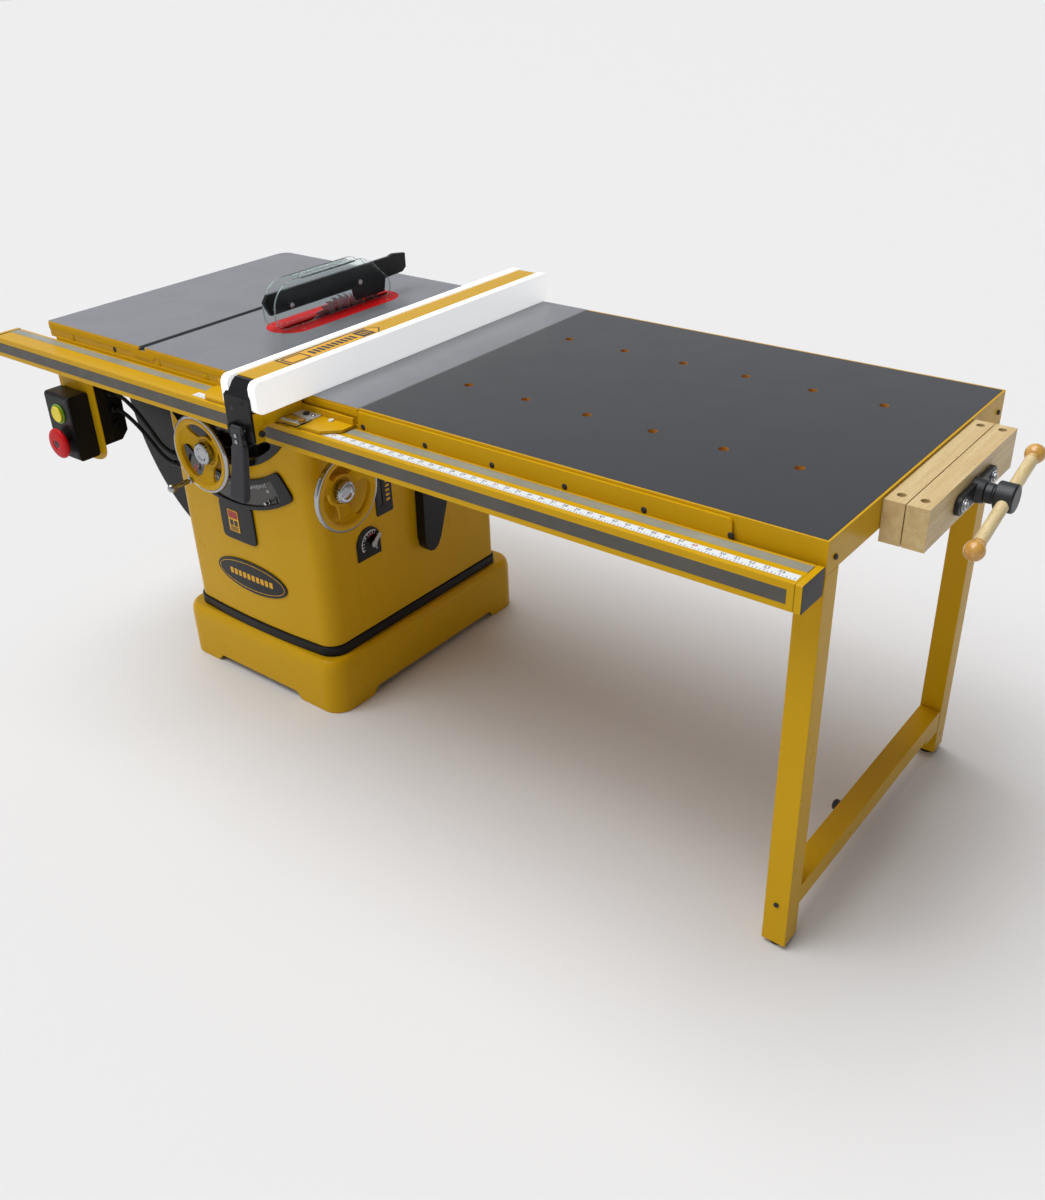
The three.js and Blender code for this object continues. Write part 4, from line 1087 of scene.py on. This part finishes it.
# ---------------------------------------------------------------- table castings
def make_skirt_details():
    """Front skirt: a thick lip that dips round each mitre slot, cast bosses, and a thin black disc that paints
    the shade of a bolt hole.
    """
    width = Box("right_wing").x1
    top = TABLE_TOP - 4
    lip = [(1, top), (1, top - 14)]
    for x in (BLADE_X - MITRE_OFFSET, BLADE_X + MITRE_OFFSET):
        lip += [(x - 46, top - 14), (x - 34, top - 23), (x + 34, top - 23), (x + 46, top - 14)]
    lip += [(width - 1, top - 14), (width - 1, top)]
    half_slot, slot_floor = 12.2, 854.3
    for x in (BLADE_X + MITRE_OFFSET, BLADE_X - MITRE_OFFSET):
        lip += [(x + half_slot, top), (x + half_slot, slot_floor)]
        lip += [(x - half_slot, slot_floor), (x - half_slot, top)]
    parts = [(slab([lip], "y", -1.8, 0.2, rim=0.6), "gold_paint")]
    for x, z in ((93, 835), (427, 833), (595, 836), (880, 835), (1000, 834)):
        boss = join(bar("y", 9, -1.6, 0.2, (x, 0, z), 0.8, 24), domed("y", (x, -1.5, z), 5, 1.2, -1))
        parts.append((boss, "gold_paint"))
    # a thin black disc on the skirt face: painted shade standing in for a bolt hole
    parts.append((bar("y", 6.5, -0.3, 0.1, (264, 0, 838), 0.1, 24), "black_marks_and_painted_shade"))
    piece("skirt_lip", "saw_body", parts)

    head = [(0, -0.6), (1.6, -0.6), (2.4, 0.15), (3.4, 0.15), (3.6, -1), (0, -1)]
    screws = []
    insert = Box("throat_insert")
    for x in (insert.x0 + 16, insert.x1 - 16):
        for y in (insert.y0 + 60, insert.y1 - 60):
            screws.append(lathe(head, "z", (x, y, insert.z1), 20))
    piece("insert_screws", "saw_body", [(join(*screws), "steel")])


def make_frame_bolts():
    frame_box, leg = Box("extension_frame"), Box("front_leg")
    right = frame_box.x1
    bolts = []
    for y in (28, frame_box.y1 - 28):
        bolts.append(socket_bolt("x", (right, y, 827), 5, 3.5))
    for z in (frame_box.z0 - 22, 105):
        bolts.append(socket_bolt("y", (leg.x, leg.y0, z), 5, 3, -1))
        bolts.append(socket_bolt("y", (leg.x, frame_box.y1, z), 5, 3))
    angle = Box("rail_angle")
    for i in range(6):
        bolts.append(domed("y", (1083 + 164 * i, angle.y1 - 5.4, 829.5), 6, 1.8, -1))
    for i in range(7):
        bolts.append(hex_bolt("z", (120 + 290 * i, -33, angle.z0), 6, 4.5, -1))
    rear = Box("rear_rail")
    for i in range(6):
        bolts.append(hex_bolt("y", (150 + 320 * i, rear.y0 + 5.7, 832), 6, 4.5))
    piece("frame_bolts", "saw_body", [(join(*bolts), "black_iron")])
    knob = lathe(soft_profile([(0, 0), (7, 0), (7, -3), (11, -5), (12, -13), (9, -17), (0, -18)], 1.2), "x",
                 (Box("leg_stretcher").x0 + 1, 320, 108), 32, 10, 1.2, range(5, 14))
    piece("stretcher_knob", "saw_body", [(knob, "grip_grey")])


def make_feet():
    for name in ("front_foot", "back_foot"):
        foot = Box(name)
        profile = soft_profile([(0, 0), (18, 0), (19, 2), (19, 5), (12, 8), (0, 8)], 1.2)
        pad = lathe(profile, "z", (foot.x, foot.y, foot.z0), 40)
        stud = join(bar("z", 5, 7, foot.z1, (foot.x, foot.y, 0), 0.3),
                    slab([arc(foot.x, foot.y, 9, 0, 300, 5)], "z", 7.6, foot.z1, rim=0.4))
        piece(f"{name}_pad", "saw_body", [(pad, "rubber"), (stud, "steel")], [name])


# ---------------------------------------------------------------- rail, tape and switch
def make_rail_trim():
    tube = Box("rail_tube")
    x0, x1, front, top = tube.x0 + 1, tube.x1 - 1, tube.y0, tube.z1
    strip = brick(x0, x1 - 12, front - 0.7, front + 0.3, tube.z0 + 12, tube.z0 + 37, 0.3, 1)
    slide = brick(x0, x1, -37, -14, top - 0.3, top + 0.5, 0.2, 1)
    piece("rail_strips", "saw_body", [(strip, "strip_grey"), (slide, "slide_grey")])

    tape_start, tape_end = 633, 2050
    inch, first = 25.4, 648.6
    y0, y1 = -70, -51
    tape = brick(tape_start, tape_end, y0, y1, top - 0.2, top + 0.35, 0.1, 1)
    face = top + 0.35
    black, red = [], []
    for count in range(int((tape_end - first) / inch * 4) + 1):
        x = first + count * inch / 4
        length = (8, 3.5, 5.5, 3.5)[count % 4]
        black.append(brick(x - 0.45, x + 0.45, y0 + 0.5, y0 + 0.5 + length, face - 0.1, face + 0.08, 0))
    for number in range(1, int((tape_end - first) / inch)):
        label = shifted(lettering(str(number), 11, "z", 0.04), first + number * inch, y1 - 6, face + 0.05)
        (red if number % 16 == 0 else black).append(label)
    parts = [(tape, "tape_white"), (join(*black), "black_marks_and_painted_shade"), (join(*red), "mark_red")]
    piece("rail_tape", "saw_body", parts)


def make_switch():
    box, start, stop = Box("switch_box"), Box("start_button"), Box("stop_button")
    front = box.y0
    collar = ring("y", 20.4, 24.5, front - 4.5, front + 0.5, (start.x, 0, start.z), 1.2)
    piece("switch_collar", "saw_body", [(collar, "green_plastic")])
    cap = [(0, 26), (6, 26), (6, 5), (19.8, 5), (19.8, 1.6), (18, 0.2), (14, 1.1), (0, 1.5)]
    cap = soft_profile(cap, 0.6)
    piece("start_cap", "start", [(lathe(cap, "y", (start.x, start.y0, start.z), 56), "yellow_plastic")],
          ["start_button"])
    head = [(0, 41), (8, 41), (8, 21), (14, 20), (35, 15), (38, 10), (37, 5.5), (32, 2), (22, 0.3),
            (13, 0), (11, 1.6), (0, 2)]
    eye = lathe([(0, 0), (8.5, 0), (9.4, 0.8), (9.4, 2), (0, 2)], "y", (stop.x, stop.y0 + 0.9, stop.z), 32)
    mushroom = lathe(soft_profile(head, 1.8), "y", (stop.x, stop.y0, stop.z), 72)
    parts = [(mushroom, "red_plastic"), (eye, "black_marks_and_painted_shade")]
    piece("stop_mushroom", "stop", parts, ["stop_button"])

    outline = rectangle(box.x0 + 4, box.x1 - 4, box.z0 + 5, box.z1 - 5, 6)
    plate = slab([outline], "y", front - 1.0, front + 0.4, rim=0.5)
    screws = [domed("y", (x, front - 1.0, z), 3, 1.4, -1)
              for x in (box.x0 + 12, box.x1 - 12) for z in (box.z0 + 13, box.z1 - 13)]
    parts = [(plate, "black_plastic"), (join(*screws), "black_iron")]
    piece("switch_face", "saw_body", parts)

    contactor = Box("contactor_box")
    spare = bar("x", 9, contactor.x1 - 0.2, contactor.x1 + 8, (0, 6, 636), 0.8)
    seam = brick(contactor.x0 - 0.8, contactor.x1 + 0.8, -12, -9, contactor.z0 + 3, contactor.z1 + 0.8, 0.6)
    piece("contactor_seam", "saw_body", [(join(seam, spare), "black_plastic")])


UPPER_CABLE = [(195.4, 6, 716), (206, 6, 716), (226, 18, 704), (248, 34, 668), (268, 48, 624), (286, 58, 586),
               (301, 70, 564), (316, 81, 556)]
LOWER_CABLE = [(195.4, 6, 676), (206, 6, 676), (224, 16, 664), (243, 32, 632), (262, 47, 592), (282, 58, 556),
               (300, 70, 536), (316, 81, 530)]


def make_cables():
    gland_profile = soft_profile([(0, 0), (10, 0), (10, 7), (7.5, 9), (6, 20), (0, 20)], 0.8)
    collar_profile = soft_profile([(0, -8), (9.5, -8), (9.5, 5), (7, 7), (7, 14), (5.4, 19), (0, 19)], 0.8)
    cables = (("upper_cable", "switch_cable", UPPER_CABLE), ("lower_cable", "motor_cable", LOWER_CABLE))
    for name, node, route in cables:
        path = smooth_path(route)
        gland = lathe(gland_profile, "x", Vector(route[0]) - Vector((0.2, 0, 0)), 28)
        away = (path[-6] - path[-1]).normalized()
        collar = lathe(collar_profile, "z", (0, 0, 0), 28)
        turned_by(collar, away.to_track_quat("Z", "Y").to_matrix().to_4x4())
        shifted(collar, *path[-1])
        parts = [(sweep(path, 4.9), "rubber"), (join(gland, collar), "black_plastic")]
        piece(name, "saw_body", parts, [node])


# ---------------------------------------------------------------- handwheels
def wheel_parts(shaft_length):
    """A handwheel about the origin: chrome rim, dished gold web with three openings, shaft along +y."""
    rim = lathe([(89 + 6 * math.cos(a) * (1 if math.cos(a) > 0 else 0.4), 6.6 * math.sin(a))
                 for a in [2 * math.pi * k / 20 for k in range(20)]], "y", (0, 0, 0), 96)
    front = [(0, 18.1), (30, 18.1), (31, 15.5), (34, 15), (38, 15.5), (60, 7), (70, 1), (76, -5.5),
             (82, -7.4), (87.5, -6.8), (88.5, -3)]
    back = [(88, 4), (81, 5.5), (70, 8.5), (62, 12), (38, 23), (30, 29.5), (0, 29.5)]
    web = lathe(soft_profile(front + back, 1.5), "y", (0, 0, 0), 96)
    openings = []
    for i in range(3):
        middle = 120 * i + 180
        openings.append(slab([polar_rectangle(38, 73, middle - 40, middle + 40, 13)], "y", -30, 50))
    web = carve(web, *openings)
    shaft = bar("y", 9, 28, shaft_length, (0, 0, 0))
    return rim, web, shaft


def knob_shape():
    profile = [(0, 0.5), (12, 0.5), (17, -2.6), (22.5, -3.6), (26.2, -1), (27, 1), (27, 12), (22, 15),
               (21, 17.6), (0, 17.6)]
    return lathe(soft_profile(profile, 0.9), "y", (0, 0, 0), 160, 20, 2.2, range(15, 26))


def make_wheels():
    knob = Box("lift_lock_knob")
    hub = Vector((knob.x, knob.y0 + 4, knob.z))
    rim, web, shaft = wheel_parts(330)
    gear = bar("y", 16, 300, 330, (0, 0, 0), 1.5)
    parts = [(rim, "chrome"), (web, "gold_paint"), (shaft, "steel"), (gear, "steel")]
    parts = [(shifted(shape, *hub), name) for shape, name in parts]
    piece("lift_handwheel", "lift_handwheel", parts, ["lift_wheel"])
    piece("lift_knob_cap", "lift_knob", [(shifted(knob_shape(), *hub), "chrome")], ["lift_lock_knob"])

    crank = Box("crank_handle")
    ball = 10.8
    angles = [math.pi * k / 14 for k in range(1, 12)]
    profile = [(0, 0)] + [(ball * math.sin(a), ball - ball * math.cos(a)) for a in angles]
    profile += [(4.6, 20.5), (5.2, 30), (6.6, 44), (6.4, 56), (4.8, 60), (8.2, 61.5), (8.2, 65),
                (5, 66.9), (0, 66.9)]
    grip = lathe(profile, "y", (crank.x, crank.y0, crank.z), 40)
    piece("crank_grip", "lift_handwheel", [(grip, "chrome")], ["crank_handle"])

    knob = Box("tilt_lock_knob")
    hub = Vector((knob.x1 - 4, knob.y, knob.z))
    turn = Matrix.Rotation(math.pi / 2, 4, "Z")
    reach = hub.x - BLADE_X
    rim, web, shaft = wheel_parts(reach + 40)
    crests = [(11.4 - 2.4 * (k % 2), reach - 30 + k * 2.5) for k in range(25)]
    worm = lathe(soft_profile([(0, reach - 30), *crests, (0, reach + 30)], 0.4), "y", (0, 0, 0), 32)
    parts = [(rim, "chrome"), (web, "gold_paint"), (join(shaft, worm), "steel")]
    parts = [(shifted(turned_by(shape, turn), *hub), name) for shape, name in parts]
    piece("tilt_handwheel", "tilt_handwheel", parts, ["tilt_wheel"])
    piece("tilt_knob_cap", "tilt_knob", [(shifted(turned_by(knob_shape(), turn), *hub), "chrome")],
          ["tilt_lock_knob"])


# ---------------------------------------------------------------- fence
def make_fence_details():
    beam, bar_box, head = Box("fence_beam"), Box("fence_bar"), Box("fence_head")
    top = beam.z1
    x0, x1 = beam.x0 + 3, beam.x1 - 3
    middle = beam.x
    y0, y1, tip = -25, 225, 26

    def arrow(inset):
        return [(x0 + inset, y0 + inset), (x1 - inset, y0 + inset), (x1 - inset, y1),
                (middle, y1 + tip - inset), (x0 + inset, y1)]

    border = slab([arrow(0), arrow(4)], "z", top - 0.1, top + 0.5, rim=0.15, steps=1)
    field = slab([arrow(4)], "z", top - 0.1, top + 0.3)
    frame_outer = rectangle(x0 + 8, x1 - 8, y0 + 8, y0 + 62)
    frame_inner = rectangle(x0 + 12, x1 - 12, y0 + 12, y0 + 58)
    frame_low = slab([frame_outer, frame_inner], "z", top + 0.2, top + 0.45)
    blocks = [brick(x0 + 15, x1 - 15, y, y + 8, top + 0.2, top + 0.45, 0) for y in range(50, 176, 13)]
    block = brick(x0 + 8, x1 - 8, 186, 222, top + 0.2, top + 0.45, 0)
    bars = [brick(x0 + 15, x1 - 15, y, y + 3, top + 0.3, top + 0.55, 0) for y in (194, 203, 212)]
    parts = [(border, "black_marks_and_painted_shade"), (field, "mark_gold"), (join(frame_low, block, *blocks), "black_marks_and_painted_shade"),
             (join(*bars), "mark_gold")]
    piece("fence_label", "fence", parts)

    plate_top = bar_box.z0 + 26.5  # the top of the cross plate
    nylon = lathe(soft_profile([(0, 1.6), (2, 1.6), (2, 3), (5.5, 3), (6, 0), (0, 0)], 0.5),
                  "z", (1009, -20, plate_top), 24)
    bolts = [socket_bolt("x", (926, -132, 823), 6.5, 6), socket_bolt("x", (852, -132, 823), 6.5, 6, -1)]
    hex_heads = [hex_bolt("z", (x, -26, plate_top), 7, 5) for x in (840, 944)]
    parts = [(nylon, "tape_white"), (join(*bolts, *hex_heads), "black_iron")]
    piece("fence_fasteners", "fence", parts)

    bracket = carve(slab([rectangle(892, 974, -72, -12, 3)], "z", plate_top, plate_top + 2, rim=0.4),
                    brick(914, 952, -64, -44, 800, 900, 0))
    screws = [domed("z", (x, y, plate_top + 2), 5, 2.6) for x, y in ((903, -24), (962, -24))]
    nut = hex_bolt("z", (970, -62, plate_top + 4.7), 6, 3)
    lens = slab([rectangle(896, 981, -88, -44, 2)], "z", plate_top + 2.1, plate_top + 4.7, rim=0.5)
    hair = brick(943.7, 944.3, -87, -45, plate_top + 1.95, plate_top + 2.05, 0)
    parts = [(bracket, "bright_steel"), (join(*screws), "chrome"), (nut, "brass"), (lens, "clear_shield"),
             (hair, "mark_red")]
    piece("cursor", "fence", parts)

    cap_screw = socket_bolt("y", (889, head.y0, 880), 4.5, 0.6, -1)
    piece("head_screw", "fence", [(cap_screw, "black_iron")])


def make_lever():
    node = Box("lock_lever")
    pivot_y, pivot_z, stem_low = -159, 835, 794
    cam = join(bar("x", 6.5, node.x0 + 11, node.x1 - 11, (0, pivot_y, pivot_z), 0.6),
               brick(node.x0 + 11, node.x1 - 11, pivot_y - 6.4, pivot_y + 6.4, stem_low - 4, pivot_z, 1.2))
    pin = bar("x", 2.6, node.x0 + 2.5, node.x1 - 2.5, (0, pivot_y, pivot_z), 0.4)
    sections = []
    steps = 16
    for k in range(steps + 1):
        t = k / steps
        z = 802 - (802 - node.z0) * t
        half_width = 20 + 6 * t ** 1.4
        front = -167.5 + (node.y0 + 167.5) * t ** 1.3
        back = -153 + (-172 + 153) * t ** 1.3
        if k in (0, steps):
            half_width, front, back = half_width - 3, front + 2.5, back - 2.5
        outline = rectangle(node.x - half_width, node.x + half_width, front, back, 6.5, 5)
        sections.append([(x, y, z) for x, y in outline])
    grip = loft(sections)
    bolts = [socket_bolt("y", (node.x, pivot_y - 6.3, z), 4.2, 2.4, -1) for z in (822, 809)]
    parts = [(cam, "black_iron"), (grip, "grip_grey"), (join(pin, *bolts), "chrome")]
    piece("lever_grip", "fence_lever", parts, ["lock_lever"])


# ---------------------------------------------------------------- guard
def make_guard():
    outline = [(262, 867), (610, 867)]
    outline += [(620, 882), (616, 905), (560, 962)]
    outline += arc(522, 944, 31, 40, 90, 6)
    outline += arc(300, 911, 64, 90, 180, 12)
    outline += [(238, 884)]
    shape = rounded(outline, 9, 4)
    spine = Box("guard_spine")
    for name, side in (("left_shield", -1), ("right_shield", 1)):
        node = Box(name)
        near, far = (node.x1, node.x0) if side < 0 else (node.x0, node.x1)
        inner_face = far - side * 3
        low, high = min(far, inner_face), max(far, inner_face)
        sheet = slab([shape], "x", low, high, rim=0.4)
        rivets, pins = [], []
        for y, z in ((516, 919), (291, 918)):
            rivets.append(domed("x", (far, y, z), 6.5, 2.6, side))
            inner = near + side * 0.8
            pins.append(bar("x", 4.6, min(inner, inner_face), max(inner, inner_face), (0, y, z), 0.3))
        inset = [tuple(Vector(p).lerp(Vector((426, 918)), 0.011)) for p in shape]
        edge = slab([shape, inset], "x", low - 0.05, high + 0.05, rim=0.3)
        lid_end = (spine.x0 - 1 if side < 0 else spine.x1 + 1)  # the spine rises past it with the blade
        lid = brick(min(far, lid_end), max(far, lid_end), 330, 506, 971.6, 974.4, 0.4)
        parts = [(sheet, "clear_shield"), (join(edge, lid), "clear_edge"), (join(*rivets), "steel"),
                 (join(*pins), "black_plastic")]
        piece(f"{name}_sheet", name.replace("shield", "guard"), parts, [name])


def make_blade():
    node = Box("blade")
    y, z, radius = node.y, node.z, (node.y1 - node.y0) / 2
    teeth, gullet = 40, 8.5
    outline, tips = [], []
    for i in range(teeth):
        start = 360 * i / teeth
        pitch = 360 / teeth

        def at(share, depth):
            a = math.radians(start + pitch * share)
            return y + (radius - depth) * math.cos(a), z + (radius - depth) * math.sin(a)

        outline += [at(0, 0.4), at(0.02, gullet * 0.75), at(0.12, gullet), at(0.26, gullet * 0.72),
                    at(0.6, 2.4), at(0.8, 0.9)]
        tip = brick(-1.55, 1.55, -3.2, 0, -1.4, 1.4, 0.2, 1)
        turned_by(tip, Matrix.Rotation(math.radians(start - 90 + 6), 4, "X"))
        at_y, at_z = at(0.02, 0.2)
        tips.append(shifted(tip, node.x, at_y, at_z))
    bore = circle(y, z, 11.2, 32)
    slots = []
    for i in range(5):
        a = math.radians(72 * i + 20)
        u = Vector((math.cos(a), math.sin(a)))
        v = Vector((-math.sin(a), math.cos(a)))
        centre = Vector((y, z)) + u * 74
        slots.append([tuple(centre + u * p + v * q) for p, q in rectangle(-12, 12, -0.8, 0.8)])
    disc = slab([outline, bore, *slots], "x", node.x - 1.1, node.x + 1.1, rim=0.15, steps=1)
    piece("saw_blade", "blade_arbor", [(disc, "steel"), (join(*tips), "carbide")], ["blade"])


# ---------------------------------------------------------------- vise
BAR_LEAN = math.radians(16.8)  # how far the vise's bar hangs from level


def make_vise():
    flange, screw, handle = Box("vise_flange"), Box("vise_screw"), Box("vise_handle")
    y, z = 402, 817
    face = flange.x0 + 9
    sockets = []
    for side in (-1, 1):
        place = (face, y + side * 70, z)
        sockets.append(socket_bolt("x", place, 8.5, 6))
        sockets.append(ring("x", 8.6, 12.5, face - 0.5, face + 2.4, place, 0.8))
    piece("flange_bolts", "vise_jaw", [(join(*sockets), "steel")])

    left = flange.x1 + 0.3
    head = screw.x1 - 33
    hub = [(0, left), (17, left), (18, left + 1.5), (18, head - 6), (16.6, head - 4.5), (16.6, head - 2),
           (24.5, head), (26, head + 2), (26, screw.x1 - 3), (23.5, screw.x1), (0, screw.x1)]
    collar = lathe(soft_profile(hub, 0.8), "x", (0, y, z), 64)
    tilt = Matrix.Rotation(BAR_LEAN, 4, "X")
    hole = turned_by(bar("y", 12.2, y - 60, y + 60, (handle.x, 0, z), 0), tilt, (handle.x, y, z))
    collar = carve(collar, hole)
    thread = [(0, screw.x0), (10, screw.x0)]
    pitch = 6
    for k in range(int((left - screw.x0 - 8) / pitch)):
        x = screw.x0 + 4 + k * pitch
        thread += [(11.4, x), (13.4, x + 1.2), (13.4, x + 3), (11.4, x + 4.2)]
    thread += [(13, left - 4), (13, left + 1), (0, left + 1)]
    spindle = lathe(thread, "x", (0, y, z), 40)
    parts = [(collar, "black_iron"), (spindle, "steel")]
    piece("vise_spindle_turned", "vise_spindle", parts, ["vise_screw"])

    reach, ball, slid = 135, 18, 8.6
    grip = bar("y", 11.4, -reach, reach, (0, 0, 0), 0.5, 40)
    balls = []
    for side in (-1, 1):
        profile = [(0, side * (reach + ball))]
        for k in range(1, 17):
            a = math.pi * k / 20
            profile.append((ball * math.sin(a), side * (reach + ball * math.cos(a))))
        end = side * (reach - ball - 1)
        profile += [(12.6, side * (reach - ball * 0.92)), (11.8, end), (0, end)]
        balls.append(lathe(profile, "y", (0, 0, 0), 44))
    place = (handle.x, y - slid * math.cos(BAR_LEAN), z - slid * math.sin(BAR_LEAN))
    parts = [(shifted(turned_by(grip, tilt), *place), "turned_beech"),
             (shifted(turned_by(join(*balls), tilt), *place), "lacquered_ball")]
    piece("vise_bar_turned", "vise_bar", parts, ["vise_handle"])


def make_motor_details():
    """Cooling fins round the motor can, with none underneath."""
    y, z = 458, 615  # the can's axis
    fins = []
    for i in range(18):
        angle = math.radians(20 * i + 10)
        if 150 < (20 * i + 10) % 360 < 210:
            continue
        fin = brick(214, 412, -1.4, 1.4, 84, 93, 0.6, 1)
        turned_by(fin, Matrix.Rotation(angle, 4, "X"))
        fins.append(shifted(fin, 0, y, z))
    parts = [(join(*fins), "grey_casting")]
    piece("motor_fins", "carriage", parts)


def make_dust_screws():
    port = Box("dust_port")
    screws = [domed("y", (port.x + 58 * math.cos(a), port.y0 + 4, port.z + 58 * math.sin(a)), 4, 2.4)
              for a in [math.radians(45 + 90 * k) for k in range(4)]]
    lips = [ring("y", 50.6, 52.6, port.y1 - 6 - 8 * k, port.y1 - 3 - 8 * k, (port.x, 0, port.z), 0.8)
            for k in range(3)]
    parts = [(join(*screws), "steel"), (join(*lips), "black_plastic")]
    piece("dust_port_trim", "saw_body", parts)


make_camera()
make_studio()

KEPT = {
    "cabinet_shell": 1.2, "front_fascia": 1.2,
    "main_table": 0.6, "left_wing": 0.6, "right_wing": 0.6, "throat_insert": 0.4,
    "extension_top": 0.4, "extension_frame": 0.6, "front_leg": 3.0, "back_leg": 3.0, "leg_stretcher": 1.5,
    "rail_tube": 3.0, "rail_cap_left": 1.2, "rail_cap_right": 1.2, "rail_angle": 0.8, "rear_rail": 0.8,
    "switch_bracket": 0.6, "switch_box": 2.5, "contactor_box": 3.0, "dust_port": 0.8,
    "trunnion": 1.0, "arbor_bracket": 1.0, "motor": 1.5, "motor_pulley": 0.6, "drive_belt": 0.5,
    "arbor": 0.6, "riving_knife": 0.2, "guard_spine": 0.6,
    "fence_face_left": 0.8, "fence_face_right": 0.8, "fence_beam": 1.5, "fence_bar": 0.8,
    "fence_head": 2.0, "fixed_jaw": 1.2, "moving_jaw": 1.2, "dial_lever": 0.8, "push_stick": 4.0,
    "vise_flange": 1.0,
}
BUILDERS = [
    make_plinth, make_band, make_badge, make_tilt_bezel, make_tongue_label, make_scale_panel,
    make_side_plates, make_motor_cover, make_skirt_details, make_frame_bolts, make_feet,
    make_rail_trim, make_switch, make_cables, make_wheels,
    make_fence_details, make_lever, make_guard, make_blade, make_vise, make_motor_details, make_dust_screws,
]
for build in BUILDERS:
    build()
M["frame_paint"] = frame_paint()
M["cap_paint"] = cap_paint()
SPECIAL = {"extension_frame": "frame_paint", "rail_cap_left": "cap_paint", "rail_cap_right": "cap_paint"}
for node, rim in KEPT.items():
    refine(node, rim, material=SPECIAL.get(node))
